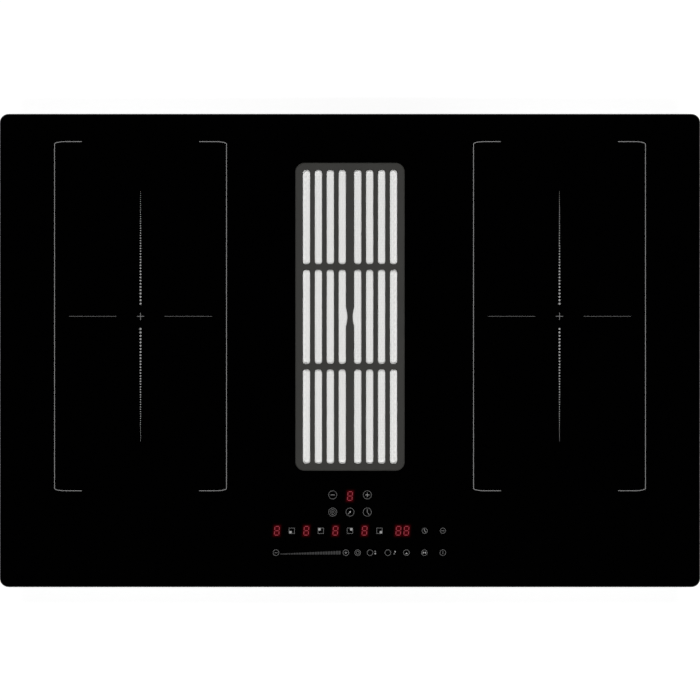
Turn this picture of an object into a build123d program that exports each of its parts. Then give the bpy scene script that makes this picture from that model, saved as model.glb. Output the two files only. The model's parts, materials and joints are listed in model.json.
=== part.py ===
from build123d import *
from math import atan2, cos, degrees, hypot, radians, sin, sqrt
import os

# Built-in induction cooktop with a downdraft extractor in its middle.
# Millimetres. The origin is the centre of the worktop cut-out, on the worktop's upper face.
# X points right, Y to the back and Z up.

# Glass panel and its seat on the worktop
GLASS_WIDTH = 770.0
GLASS_DEPTH = 520.0
GLASS_THICKNESS = 4.0
GLASS_CORNER = 10.0
GLASS_BEVEL = 0.8
SEAL_WIDTH = 8.0
SEAL_THICKNESS = 2.0
SEAL_INSET = 2.0

# Sheet steel casing that drops into the cut-out
SIDE_LAP = 10.0
FRONT_LAP = 15.0
CUTOUT_GAP = 6.0
CASING_DEPTH = 58.0
CASING_CORNER = 8.0
CASING_FOLD = 3.0
BEAD_WIDTH = 16.0
BEAD_LENGTH = 240.0
BEAD_DEPTH = 2.0
BEAD_PITCH = 64.0
SHEET = 1.0
FRAME_FLANGE = 8.0
FRAME_SKIRT = 18.0
MIN_CORNER = 1.0
LEVEL_TOLERANCE = 1e-4
HEX_SIDES = 6

# Vent grille: two halves of slots beside a middle bar
VENT_REAR_MARGIN = 54.0
VENT_FRONT_MARGIN = 128.0
SLOT_COLUMNS = 4
SLOT_ROWS = 3
SLOT_WIDTH = 8.0
SLOT_CORNER = 3.0
SLOT_BAR = 5.1
MIDDLE_BAR = 9.0
SIDE_BORDER = 8.2
CROSS_BAR = 6.1
END_BORDER = 7.8
GRILLE_THICKNESS = 5.0
GRILLE_CORNER = 10.0
GRILLE_ROUND = 1.5
SLOT_ROUND = 0.5
GRIP_LENGTH = 21.0
GRIP_DEPTH = 1.6
TAB_LENGTH = 24.0
TAB_THICKNESS = 1.5
TAB_DEPTH = 3.8
TAB_PITCH = 200.0
PAD_LENGTH = 14.0
PAD_WIDTH = 3.0
PAD_THICKNESS = 0.8
PAD_PITCH = 130.0
PAD_COUNT = 3

# Vent well below the grille: collar, filter and drip tray
VENT_LAP = 4.0
COLLAR_GAP = 0.5
COLLAR_WALL = 1.5
COLLAR_LEDGE = 3.0
COLLAR_LAP = 4.0
LIFT_GAP = 0.5
WELL_GAP = 1.0
FILTER_THICKNESS = 8.0
FILTER_RIM = 1.5
FILTER_LIP = 1.5
TRAY_WALL = 1.5
TRAY_DEPTH = 54.0
TRAY_SUMP = 18.0
WINDOW_TOP = 6.0
WINDOW_COUNT = 5
WINDOW_RIB = 12.0
WINDOW_CORNER = 5.0

# Duct from the well to the air box
DUCT_SPACE = 18.0
DUCT_WALL = 2.0
DUCT_FLANGE = 14.0
DUCT_DROP = 6.0
DUCT_GAP = 1.0
DUCT_CORNER = 10.0
DUCT_SCREW_PITCH = 100.0
DUCT_SCREW_COUNT = 4

# Air box and the fan deck that closes it
BOX_HEIGHT = 43.5
BOX_WALL = 2.5
BOX_CORNER = 14.0
BOX_FLANGE = 12.0
BOX_REAR_GAP = 2.5
BOX_FRONT_GAP = 6.5
BOX_SIDE_GAP = 11.5
EYE_RADIUS = 74.0
EYE_LIP = 4.0
NOZZLE_DROP = 6.0
NOZZLE_WALL = 2.0
DECK_SCREW_PITCH = 105.0
DECK_SIDE_SCREWS = 4
DECK_FRONT_SCREWS = 3
BOX_RIBS = 3
BOX_RIB_HEIGHT = 30.0

# Fan scroll: quarter arcs that grow by one step each, then a flared outlet
SCROLL_START = 104.0
SCROLL_QUARTERS = 4
SCROLL_STEP = 14.0
SCROLL_WALL = 2.5
SCROLL_RIM = 12.0
SCROLL_RIM_THICKNESS = 3.0
SCROLL_ROUND = 4.0
RIB_THICKNESS = 2.0
RIB_HEIGHT = 34.0
SCROLL_RIB_ANGLES = (134.0, 181.5, 228.0, 276.0, 324.0)
TONGUE_ANGLE = 55.0
OUTLET_RUN = 267.0
OUTLET_WIDTH = 220.0
OUTLET_HEIGHT = 88.0
OUTLET_CORNER = 5.0
SPIGOT_WALL = 2.0
SPIGOT_FLANGE = 3.0
SPIGOT_LENGTH = 30.0
SPIGOT_SCREW_PITCH = 56.0
SCROLL_SCREW_ANGLES = (110.0, 158.0, 205.0, 252.0, 300.0, 348.0)
SCROLL_SCREW_RUN = (70.0, 170.0)

# Impeller, motor and shaft
IMPELLER_RADIUS = 95.0
BLADE_COUNT = 36
BLADE_DEPTH = 18.0
BLADE_ARC = 15.0
BLADE_THICKNESS = 1.2
IMPELLER_WALL = 2.0
CAGE_RING = 1.5
SHROUD_GAP = 2.0
BACK_GAP = 8.0
DOME_FOOT = 62.0
DOME_HEAD = 52.0
HUB_RADIUS = 9.0
HUB_HEIGHT = 12.0
SHAFT_RADIUS = 4.0
SHAFT_GAP = 0.04
NUT_RADIUS = 7.0
NUT_HEIGHT = 5.0
NUT_CLEAR = 2.0
DISH_RADIUS = 60.0
DISH_DEPTH = 4.0
GROMMET_RADIUS = 7.0
GROMMET_HEIGHT = 4.0
GROMMET_CIRCLE = 46.0
GROMMET_COUNT = 3
MOTOR_RADIUS = 36.0
MOTOR_FLANGE_RADIUS = 54.0
MOTOR_FLANGE = 2.5
MOTOR_ROUND = 4.0
DOME_GAP = 4.0
DOME_DROP = 30.0
BEARING_RADIUS = 9.0
BEARING_HEIGHT = 6.0
BEARING_FIT = 0.02

# Cooking zones and their coils
ZONE_WIDTH = 189.0
ZONE_SIDE_MARGIN = 60.0
ZONE_REAR_MARGIN = 30.0
ZONE_FRONT_MARGIN = 105.6
COIL_MARGIN = 6.5
COIL_INNER = 26.0
WIRE_WIDTH = 4.2
WIRE_HEIGHT = 4.0
WIRE_PITCH = 5.6
SHEET_MARGIN = 2.0
INSULATION = 0.8
CARRIER_THICKNESS = 3.0
CARRIER_RIM = 5.0
CARRIER_HUB = 16.0
SPOKE_WIDTH = 14.0
FERRITE_COUNT = 8
FERRITE_WIDTH = 12.0
FERRITE_HEIGHT = 5.0
FERRITE_END = 4.0
PLATE_THICKNESS = 1.5
PLATE_LAP = 3.0
PLATE_CORNER = 6.0
SENSOR_RADIUS = 6.0
SENSOR_BASE_RADIUS = 10.0
SENSOR_BASE = 2.0
SPRING_SPAN = 40.0
SPRING_RISE = 8.0
SPRING_WIDTH = 12.0
SPRING_THICKNESS = 0.6
SPRING_INSET_X = 14.0
SPRING_INSET_Y = 26.0
POST_RADIUS = 5.0

# Power boards and cooling fans
FAN_FRAME = 80.0
FAN_HEIGHT = 20.0
FAN_BORE = 37.0
FAN_CORNER = 5.0
FAN_WALL_GAP = 12.0
FAN_HUB = 15.0
FAN_HUB_HEIGHT = 13.0
FAN_PLATE = 3.0
FAN_STRUTS = 3
FAN_STRUT_WIDTH = 4.0
FAN_PIN = 2.5
FAN_PIN_GAP = 0.05
FAN_TIP_GAP = 1.5
FAN_ROOT = 1.0
FAN_LIFT = 1.0
FAN_BLADES = 7
FAN_CHORD = 17.0
FAN_BLADE = 1.4
FAN_TWIST = 38.0
FAN_SCREW_PITCH = 71.5
BOARD_WIDTH = 150.0
BOARD_GAP = 16.0
BOARD_REAR_MARGIN = 48.0
BOARD_THICKNESS = 1.6
STANDOFF_HEIGHT = 6.0
STANDOFF_RADIUS = 3.5
STANDOFF_INSET = 8.0
SINK_WIDTH = 44.0
SINK_END_GAP = 50.0
SINK_BASE = 4.0
SINK_FINS = 7
SINK_FIN = 2.0
SINK_HEIGHT = 26.0
SINK_SHIFT = 42.0
CAPACITOR_SIZE = (32.0, 18.0)
CAPACITOR_HEIGHT = 22.0
CAPACITOR_COUNT = 4
CAPACITOR_PITCH = 30.0
CHOKE_RADIUS = 16.0
CHOKE_BORE = 7.0
CHOKE_HEIGHT = 12.0
CHOKE_PITCH = 42.0
PART_SHIFT_X = 30.0
CAPACITOR_SHIFT_Y = 70.0
CHOKE_SHIFT_Y = -70.0

# Touch controls, measured from the front edge and the middle of the glass
KEY_ROW_LEVEL = 37.6
KEY_ROW_ZONE = 61.7
KEY_ROW_FAN = 82.4
KEY_ROW_SPEED = 101.2
FAN_KEY_PITCH = 19.0
ZONE_DIGIT_X = -80.2
ZONE_KEY_PITCH = 32.1
ZONE_COUNT = 4
ZONE_KEY_STEP = 16.0
TIMER_DIGIT_X = 53.3
TIMER_DIGIT_STEP = 8.7
FUNCTION_KEY_X = 22.0
FUNCTION_KEY_PITCH = 20.0
FUNCTION_KEYS = 5
TIMER_KEYS = 2
LEVEL_DOWN_X = -81.3
LEVEL_UP_X = -5.0
BOOST_KEY_X = 8.4
SLIDER_GAP = 6.0
SLIDER_WIDTH = 7.0
KEY_PAD_RADIUS = 4.5
DIGIT_SIZE = (8.2, 12.0)
DIGIT_HEIGHT = 8.0
DIGIT_GAP = 0.5
BOARD_EDGE = 8.5
HOLDER_GAP = 0.5
HOLDER_WALL = 2.0
HOLDER_LIP = 2.0
BOSS_RADIUS = 4.0
BOSS_HEIGHT = 3.0
BOSS_INSET = 5.0

# Mains entry in the rear wall
TERMINAL_SIZE = (36.0, 58.0)
TERMINAL_HEIGHT = 28.0
TERMINAL_WALL_GAP = 4.0
TERMINAL_REAR_GAP = 16.0
TERMINAL_WAYS = 5
TERMINAL_PITCH = 10.5
TERMINAL_HOLE = 3.0
TERMINAL_HOLE_DEPTH = 12.0
GLAND_HEIGHT = 22.0
GLAND_BORE = 6.5
GLAND_BODY_BORE = 7.4
GLAND_SEAL_LENGTH = 9.0
GLAND_THREAD = 9.0
GLAND_HEAD = 13.0
GLAND_HEAD_LENGTH = 12.0
GLAND_INSIDE = 10.0
GLAND_ROUND = 3.0
LOCKNUT_LENGTH = 4.0

# Air slots in the casing
INTAKE_SLOTS = 8
INTAKE_SLOT_WIDTH = 4.0
INTAKE_SLOT_PITCH = 8.0
INTAKE_SLOT_LENGTH = 60.0
EXHAUST_SLOTS = 9
EXHAUST_SLOT_LENGTH = 18.0
EXHAUST_SLOT_WIDTH = 4.0
EXHAUST_SLOT_PITCH = 10.0
EXHAUST_DROP = 36.0

# Fixings
SCREW_RADIUS = 2.0
SCREW_HOLE_GAP = 0.15
SCREW_HEAD_RADIUS = 3.8
SCREW_HEAD = 2.4
SCREW_OVERRUN = 2.5
CASING_SCREW_DROP = 10.0
CASING_SCREW_SIDE = (-190.0, 0.0, 190.0)
CASING_SCREW_FRONT = (-300.0, -150.0, 150.0, 300.0)
WORKTOP_THICKNESS = 40.0
BRACKET_WIDTH = 20.0
BRACKET_SHEET = 1.5
BRACKET_REACH = 13.0
BRACKET_LEG = 14.0
BRACKET_SCREW_DROP = 8.0
BRACKET_PITCH = 200.0

# Heights worked out from the glass downwards
GLASS_BOTTOM = SEAL_THICKNESS
GLASS_TOP = GLASS_BOTTOM + GLASS_THICKNESS
CASING_TOP = GLASS_BOTTOM - SHEET
CASING_BOTTOM = -CASING_DEPTH
FLOOR = CASING_BOTTOM + SHEET
GRILLE_BOTTOM = GLASS_TOP + PAD_THICKNESS
GRILLE_TOP = GRILLE_BOTTOM + GRILLE_THICKNESS
FILTER_TOP = GRILLE_BOTTOM - TAB_DEPTH - LIFT_GAP
FILTER_BOTTOM = FILTER_TOP - FILTER_THICKNESS
LEDGE_TOP = FILTER_BOTTOM - TRAY_WALL
LEDGE_BOTTOM = LEDGE_TOP - COLLAR_WALL
TRAY_BOTTOM = FILTER_BOTTOM - TRAY_DEPTH
COLLAR_SEAT = GLASS_BOTTOM - COLLAR_WALL
DUCT_BOTTOM = CASING_BOTTOM - DUCT_DROP
BOX_BOTTOM = CASING_BOTTOM - BOX_HEIGHT
DECK_BOTTOM = BOX_BOTTOM - BOX_WALL
SCROLL_FLOOR = DECK_BOTTOM - OUTLET_HEIGHT
SCROLL_BOTTOM = SCROLL_FLOOR - SCROLL_WALL
OUTLET_MIDDLE = DECK_BOTTOM - OUTLET_HEIGHT / 2
NOZZLE_BOTTOM = DECK_BOTTOM - NOZZLE_DROP
SHROUD_TOP = NOZZLE_BOTTOM - SHROUD_GAP
BACK_PLATE = SCROLL_FLOOR + BACK_GAP
DISH_TOP = SCROLL_FLOOR + DISH_DEPTH
MOTOR_SEAT = DISH_TOP + GROMMET_HEIGHT
DOME_TOP = NOZZLE_BOTTOM - DOME_DROP
MOTOR_TOP = DOME_TOP - IMPELLER_WALL - DOME_GAP
COIL_TOP = GLASS_BOTTOM - INSULATION
COIL_BOTTOM = COIL_TOP - WIRE_HEIGHT
CARRIER_BOTTOM = COIL_BOTTOM - CARRIER_THICKNESS
PLATE_TOP = CARRIER_BOTTOM - FERRITE_HEIGHT
PLATE_BOTTOM = PLATE_TOP - PLATE_THICKNESS
SPRING_BOTTOM = PLATE_BOTTOM - SPRING_RISE
BOARD_BOTTOM = FLOOR + STANDOFF_HEIGHT
BOARD_TOP = BOARD_BOTTOM + BOARD_THICKNESS
DISPLAY_TOP = GLASS_BOTTOM - DIGIT_GAP - DIGIT_HEIGHT
DISPLAY_BOTTOM = DISPLAY_TOP - BOARD_THICKNESS
HOLDER_FLOOR = DISPLAY_BOTTOM - BOSS_HEIGHT
GLAND_Z = FLOOR + GLAND_HEIGHT

# Plan sizes and places that follow from them
SCREW_HOLE = SCREW_RADIUS + SCREW_HOLE_GAP


def grown(size, by):
    """Rectangle with every side moved outwards."""
    return (size[0] + 2 * by, size[1] + 2 * by)


def spread(count, pitch):
    """Evenly spaced places about zero."""
    return [(i - (count - 1) / 2) * pitch for i in range(count)]


CASING = (GLASS_WIDTH - 2 * (SIDE_LAP + CUTOUT_GAP), GLASS_DEPTH - 2 * (FRONT_LAP + CUTOUT_GAP))
CASING_INSIDE = grown(CASING, -SHEET)
VENT_Y = (VENT_FRONT_MARGIN - VENT_REAR_MARGIN) / 2
VENT = (0.0, VENT_Y)
SLOT_PITCH = SLOT_WIDTH + SLOT_BAR
GRILLE_WIDTH = MIDDLE_BAR + 2 * (SLOT_COLUMNS * SLOT_PITCH - SLOT_BAR + SIDE_BORDER)
GRILLE_LENGTH = GLASS_DEPTH - VENT_REAR_MARGIN - VENT_FRONT_MARGIN
GRILLE = (GRILLE_WIDTH, GRILLE_LENGTH)
SLOT_LENGTH = (GRILLE_LENGTH - 2 * END_BORDER - (SLOT_ROWS - 1) * CROSS_BAR) / SLOT_ROWS
VENT_HOLE = grown(GRILLE, -VENT_LAP)
VENT_HOLE_CORNER = max(GRILLE_CORNER - VENT_LAP, MIN_CORNER)
COLLAR_OUTSIDE = grown(VENT_HOLE, -COLLAR_GAP)
COLLAR_INSIDE = grown(COLLAR_OUTSIDE, -COLLAR_WALL)
LEDGE_INSIDE = grown(COLLAR_INSIDE, -COLLAR_LEDGE)
FILTER = grown(COLLAR_INSIDE, -WELL_GAP)
FILTER_INSIDE = grown(FILTER, -FILTER_RIM)
FILTER_CORNER = max(VENT_HOLE_CORNER - FILTER_RIM, MIN_CORNER)
TRAY = grown(LEDGE_INSIDE, -WELL_GAP)
TRAY_INSIDE = grown(TRAY, -TRAY_WALL)
DUCT_INSIDE = grown(TRAY, DUCT_SPACE)
DUCT_OUTSIDE = grown(DUCT_INSIDE, DUCT_WALL)
DUCT_HOLE = grown(DUCT_OUTSIDE, DUCT_GAP)
BOX_REAR = VENT_Y + DUCT_HOLE[1] / 2 + BOX_REAR_GAP + BOX_WALL
SCROLL_SHIFT = SCROLL_STEP / 2
SCROLL_END = SCROLL_START + (SCROLL_QUARTERS - 1) * SCROLL_STEP
SCROLL_RIGHT = SCROLL_END + SCROLL_SHIFT
SCROLL_LEFT = -SCROLL_START - SCROLL_STEP - SCROLL_SHIFT
SCROLL_FRONT = SCROLL_END - SCROLL_SHIFT + SCROLL_WALL + SCROLL_RIM
BOX_WIDTH = SCROLL_RIGHT - SCROLL_LEFT + 2 * (SCROLL_WALL + SCROLL_RIM + BOX_SIDE_GAP)
BOX_LENGTH = OUTLET_RUN + SCROLL_FRONT + BOX_FRONT_GAP
BOX = (BOX_WIDTH, BOX_LENGTH)
BOX_AT = (0.0, BOX_REAR - BOX_LENGTH / 2)
DECK = grown(BOX, BOX_FLANGE)
FAN_AT = (-(SCROLL_RIGHT + SCROLL_LEFT) / 2, BOX_REAR - OUTLET_RUN)
OUTLET_INSIDE = OUTLET_WIDTH - 2 * SPIGOT_WALL
OUTLET_X = FAN_AT[0] + SCROLL_RIGHT - OUTLET_INSIDE / 2
ZONE_DEPTH = GLASS_DEPTH - ZONE_REAR_MARGIN - ZONE_FRONT_MARGIN
ZONE_X = GLASS_WIDTH / 2 - ZONE_SIDE_MARGIN - ZONE_WIDTH / 2
ZONE_Y = (ZONE_FRONT_MARGIN - ZONE_REAR_MARGIN) / 2
COIL_PITCH = ZONE_DEPTH / 2
COIL_OUTER = min(ZONE_WIDTH, COIL_PITCH) / 2 - COIL_MARGIN
COIL_TURNS = int((COIL_OUTER - COIL_INNER - WIRE_WIDTH) / WIRE_PITCH)
PLATE = (ZONE_WIDTH + 2 * PLATE_LAP, ZONE_DEPTH + 2 * PLATE_LAP)
FAN_Y = -CASING_INSIDE[1] / 2 + FAN_WALL_GAP + FAN_FRAME / 2
BOARD_FRONT = FAN_Y + FAN_FRAME / 2 + BOARD_GAP
BOARD_REAR = CASING_INSIDE[1] / 2 - BOARD_REAR_MARGIN
BOARD = (BOARD_WIDTH, BOARD_REAR - BOARD_FRONT)
BOARD_Y = (BOARD_REAR + BOARD_FRONT) / 2
FRONT_EDGE = -GLASS_DEPTH / 2
ZONE_DIGITS = [ZONE_DIGIT_X + i * ZONE_KEY_PITCH for i in range(ZONE_COUNT)]
FUNCTION_COLUMNS = [FUNCTION_KEY_X + i * FUNCTION_KEY_PITCH for i in range(FUNCTION_KEYS)]
DISPLAY_LEFT = LEVEL_DOWN_X - KEY_PAD_RADIUS - BOARD_EDGE
DISPLAY_RIGHT = FUNCTION_COLUMNS[-1] + KEY_PAD_RADIUS + BOARD_EDGE
DISPLAY_FRONT = FRONT_EDGE + KEY_ROW_LEVEL - BOARD_EDGE
DISPLAY_REAR = FRONT_EDGE + KEY_ROW_SPEED + BOARD_EDGE
DISPLAY = (DISPLAY_RIGHT - DISPLAY_LEFT, DISPLAY_REAR - DISPLAY_FRONT)
DISPLAY_AT = ((DISPLAY_RIGHT + DISPLAY_LEFT) / 2, (DISPLAY_REAR + DISPLAY_FRONT) / 2)
TERMINAL_X = CASING_INSIDE[0] / 2 - TERMINAL_WALL_GAP - TERMINAL_SIZE[0] / 2
TERMINAL_Y = CASING_INSIDE[1] / 2 - TERMINAL_REAR_GAP - TERMINAL_SIZE[1] / 2
SIDES = {"left": -1, "right": 1}
ENDS = {"front": -1, "rear": 1}


def plate(size, corner, bottom, top, at=(0.0, 0.0)):
    """Rectangular plate with round corners between two heights."""
    return Pos(at[0], at[1], bottom) * extrude(RectangleRounded(size[0], size[1], corner), top - bottom)


def band(outside, inside, corner, bottom, top, at=(0.0, 0.0)):
    """Rectangular ring whose inner corner follows the outer one."""
    inner_corner = max(corner - (outside[0] - inside[0]) / 2, MIN_CORNER)
    hole = RectangleRounded(inside[0], inside[1], inner_corner)
    face = RectangleRounded(outside[0], outside[1], corner) - hole
    return Pos(at[0], at[1], bottom) * extrude(face, top - bottom)


def block(size, bottom, top, at=(0.0, 0.0)):
    """Square-edged block between two heights."""
    return Pos(at[0], at[1], bottom) * extrude(Rectangle(size[0], size[1]), top - bottom)


def disc(radius, bottom, top, at=(0.0, 0.0)):
    """Upright cylinder between two heights."""
    return Pos(at[0], at[1], bottom) * extrude(Circle(radius), top - bottom)


def tube(outer, inner, bottom, top, at=(0.0, 0.0)):
    """Upright ring between two heights."""
    return Pos(at[0], at[1], bottom) * extrude(Circle(outer) - Circle(inner), top - bottom)


def turned(points, at=(0.0, 0.0)):
    """Solid of revolution about an upright axis from (radius, height) points."""
    profile = make_face(Polyline(*points, close=True))
    return Pos(at[0], at[1], 0) * revolve(Plane.XZ * profile, Axis.Z)


def group(solids):
    """Separate solids that share one node."""
    return Compound(children=[solid for part in solids for solid in part.solids()])


def rim_edges(part, height):
    """Edges of the outermost outline at one height."""
    level = part.faces().filter_by(Plane.XY)
    found = level.filter_by(lambda face: abs(face.center().Z - height) < LEVEL_TOLERANCE)
    return found[0].outer_wire().edges()


def screw(length):
    """Pan-head screw: the head stands on Z = 0 and the shank hangs below."""
    head = disc(SCREW_HEAD_RADIUS, 0, SCREW_HEAD)
    head = fillet(rim_edges(head, SCREW_HEAD), SCREW_HEAD / 2)
    return head + disc(SCREW_RADIUS, -length, 0)


def screws(length, places):
    """Group of like screws at a list of places."""
    one = screw(length)
    return group([place * one for place in places])


def drilled(part, places, depth):
    """Part with clearance holes along the screws' axes, depth each way from each head's seat."""
    drill = disc(SCREW_HOLE, -depth, depth)
    return part - [place * drill for place in places]


def casing_screw_places():
    """Seats of the screws that hold the pan to the frame, heads outwards."""
    z = CASING_TOP - CASING_SCREW_DROP
    places = []
    for side in SIDES.values():
        places += [Pos(side * CASING[0] / 2, y, z) * Rot(0, side * 90, 0) for y in CASING_SCREW_SIDE]
    for end in ENDS.values():
        places += [Pos(x, end * CASING[1] / 2, z) * Rot(-end * 90, 0, 0) for x in CASING_SCREW_FRONT]
    return places


def side_wall_places(stand_off, z):
    """Two places on each side wall, with Z outwards and X down, the left ones turned from the right ones."""
    return [
        Rot(0, 0, turn) * Pos(CASING[0] / 2 + stand_off, y, z) * Rot(0, 90, 0)
        for turn in (0, 180)
        for y in spread(2, BRACKET_PITCH)
    ]


def bracket_screw_places():
    """Seats of the bracket screws, on the outside of each bracket's leg."""
    return side_wall_places(BRACKET_SHEET, -WORKTOP_THICKNESS - BRACKET_SCREW_DROP)


def duct_screw_places():
    """Seats of the screws through the duct's long flanges."""
    x = (DUCT_OUTSIDE[0] + DUCT_FLANGE) / 2
    return [
        Pos(side * x, VENT_Y + y, FLOOR + DUCT_WALL)
        for side in SIDES.values()
        for y in spread(DUCT_SCREW_COUNT, DUCT_SCREW_PITCH)
    ]


def deck_screw_places():
    """Seats of the screws below the deck's edge, heads down."""
    x = (BOX[0] + BOX_FLANGE) / 2
    front = BOX_AT[1] - (BOX[1] + BOX_FLANGE) / 2
    places = [
        Pos(side * x, BOX_AT[1] + y, DECK_BOTTOM) * Rot(180, 0, 0)
        for side in SIDES.values()
        for y in spread(DECK_SIDE_SCREWS, DECK_SCREW_PITCH)
    ]
    columns = spread(DECK_FRONT_SCREWS, DECK_SCREW_PITCH)
    places += [Pos(x, front, DECK_BOTTOM) * Rot(180, 0, 0) for x in columns]
    return places


def scroll_centres():
    """Centres of the scroll's arcs about the fan's axis, from the tongue round to the outlet."""
    near, far = -SCROLL_SHIFT, SCROLL_SHIFT
    return [(near, far), (near, near), (far, near), (far, far)]


def scroll_point(angle, grow):
    """Point on the scroll's wall, moved outwards by grow, at an angle past the tongue."""
    quarter = int(angle // 90)
    centre = scroll_centres()[quarter]
    radius = SCROLL_START + quarter * SCROLL_STEP + grow
    return (centre[0] + radius * cos(radians(angle)), centre[1] + radius * sin(radians(angle)))


def scroll_face(grow):
    """Plan of the scroll about the fan's axis, every wall but the rear moved outwards by grow.

    Four arcs wind round the fan. The straight right wall and the flared left wall end at the outlet, and the
    left wall meets the first arc at the tongue.
    """
    tongue = scroll_point(TONGUE_ANGLE, 0)
    corner = (SCROLL_RIGHT - OUTLET_INSIDE, OUTLET_RUN)
    run = hypot(corner[0] - tongue[0], corner[1] - tongue[1])
    along = ((corner[0] - tongue[0]) / run, (corner[1] - tongue[1]) / run)
    start = (tongue[0] - along[1] * grow, tongue[1] + along[0] * grow)
    centres = scroll_centres()
    first = SCROLL_START + grow
    across = (start[0] - centres[0][0], start[1] - centres[0][1])
    ahead = across[0] * along[0] + across[1] * along[1]
    meet = -ahead + sqrt(ahead**2 - across[0] ** 2 - across[1] ** 2 + first**2)
    tip = (start[0] + meet * along[0], start[1] + meet * along[1])
    tip_angle = degrees(atan2(tip[1] - centres[0][1], tip[0] - centres[0][0]))
    left_run = (OUTLET_RUN - start[1]) / along[1]
    left = (start[0] + left_run * along[0], OUTLET_RUN)
    right = (SCROLL_RIGHT + grow, OUTLET_RUN)
    edges = [CenterArc(centres[0], first, tip_angle, 90 - tip_angle)]
    for quarter in range(1, SCROLL_QUARTERS):
        edges.append(CenterArc(centres[quarter], first + quarter * SCROLL_STEP, 90 * quarter, 90))
    edges += [Line(edges[-1] @ 1, right), Line(right, left), Line(left, edges[0] @ 0)]
    return make_face(edges)


def scroll_screw_places():
    """Seats of the screws below the scroll's rim, heads down."""
    grow = SCROLL_WALL + SCROLL_RIM / 2
    points = [scroll_point(angle, grow) for angle in SCROLL_SCREW_ANGLES]
    points += [(SCROLL_RIGHT + grow, run) for run in SCROLL_SCREW_RUN]
    z = DECK_BOTTOM - SCROLL_RIM_THICKNESS
    return [Pos(FAN_AT[0] + x, FAN_AT[1] + y, z) * Rot(180, 0, 0) for x, y in points]


def spigot_screw_places():
    """Seats of the screws beside the outlet, heads to the back."""
    y = BOX_REAR + SPIGOT_FLANGE
    x = OUTLET_INSIDE / 2 + SCROLL_WALL + SCROLL_RIM / 2
    return [
        Pos(OUTLET_X + side * x, y, OUTLET_MIDDLE + z) * Rot(-90, 0, 0)
        for side in SIDES.values()
        for z in spread(2, SPIGOT_SCREW_PITCH)
    ]


def motor_screw_places():
    """Seats of the motor screws in the dish below the scroll, heads down."""
    z = SCROLL_BOTTOM + DISH_DEPTH
    fan = Pos(FAN_AT[0], FAN_AT[1], z)
    return [fan * place * Rot(180, 0, 0) for place in PolarLocations(GROMMET_CIRCLE, GROMMET_COUNT)]


def glass_top():
    """Glass panel with a bevelled rim and the vent opening."""
    panel = plate((GLASS_WIDTH, GLASS_DEPTH), GLASS_CORNER, GLASS_BOTTOM, GLASS_TOP)
    panel = chamfer(rim_edges(panel, GLASS_TOP), GLASS_BEVEL)
    return panel - plate(VENT_HOLE, VENT_HOLE_CORNER, GLASS_BOTTOM, GLASS_TOP, VENT)


def worktop_seal():
    """Foam tape below the glass rim."""
    outside = grown((GLASS_WIDTH, GLASS_DEPTH), -SEAL_INSET)
    return band(outside, grown(outside, -SEAL_WIDTH), GLASS_CORNER - SEAL_INSET, 0, SEAL_THICKNESS)


def support_frame():
    """Folded frame: a flange under the glass and a skirt inside the pan."""
    flange = band(CASING, grown(CASING, -FRAME_FLANGE), CASING_CORNER, CASING_TOP, GLASS_BOTTOM)
    skirt = band(
        CASING_INSIDE,
        grown(CASING_INSIDE, -SHEET),
        CASING_CORNER - SHEET,
        CASING_TOP - FRAME_SKIRT,
        CASING_TOP,
    )
    return drilled(flange + skirt, casing_screw_places(), 3 * SHEET)


def intake_slots():
    """Slots in the pan floor below both cooling fans."""
    slot = extrude(SlotOverall(INTAKE_SLOT_LENGTH, INTAKE_SLOT_WIDTH), SHEET)
    return [
        Pos(side * ZONE_X, FAN_Y + y, CASING_BOTTOM) * slot
        for side in SIDES.values()
        for y in spread(INTAKE_SLOTS, INTAKE_SLOT_PITCH)
    ]


def exhaust_slots():
    """Upright slots in the side walls beside the power boards."""
    slot = extrude(SlotOverall(EXHAUST_SLOT_LENGTH, EXHAUST_SLOT_WIDTH), 3 * SHEET, both=True)
    return [
        Pos(side * CASING[0] / 2, y, CASING_TOP - EXHAUST_DROP) * Rot(0, 90, 0) * slot
        for side in SIDES.values()
        for y in spread(EXHAUST_SLOTS, EXHAUST_SLOT_PITCH)
    ]


def floor_beads(grow):
    """Stiffening beads pressed up into the pan floor below the power boards."""
    size = grown((BEAD_WIDTH, BEAD_LENGTH), grow)
    bottom = CASING_BOTTOM if grow == 0 else FLOOR
    return [
        plate(size, (size[0] - MIN_CORNER) / 2, bottom, bottom + BEAD_DEPTH, (side * ZONE_X + x, BOARD_Y))
        for side in SIDES.values()
        for x in spread(2, BEAD_PITCH)
    ]


def base_pan():
    """Deep-drawn steel pan with folded edges, pressed beads and its openings."""
    pan = plate(CASING, CASING_CORNER, CASING_BOTTOM, CASING_TOP)
    pan = fillet(rim_edges(pan, CASING_BOTTOM), CASING_FOLD)
    inside = plate(CASING_INSIDE, CASING_CORNER - SHEET, FLOOR, CASING_TOP)
    pan -= fillet(rim_edges(inside, FLOOR), CASING_FOLD - SHEET)
    pan = pan + floor_beads(SHEET) - floor_beads(0)
    pan -= plate(DUCT_HOLE, DUCT_CORNER + DUCT_GAP, CASING_BOTTOM, FLOOR, VENT)
    pan -= intake_slots() + exhaust_slots()
    entry = Rot(90, 0, 0) * disc(GLAND_THREAD, -SHEET, 2 * SHEET)
    pan -= Pos(TERMINAL_X, CASING[1] / 2, GLAND_Z) * entry
    pan = drilled(pan, casing_screw_places(), 3 * SHEET)
    pan = drilled(pan, bracket_screw_places(), BRACKET_SHEET + 2 * SHEET)
    return drilled(pan, duct_screw_places(), DUCT_WALL + 2 * SHEET)


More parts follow.
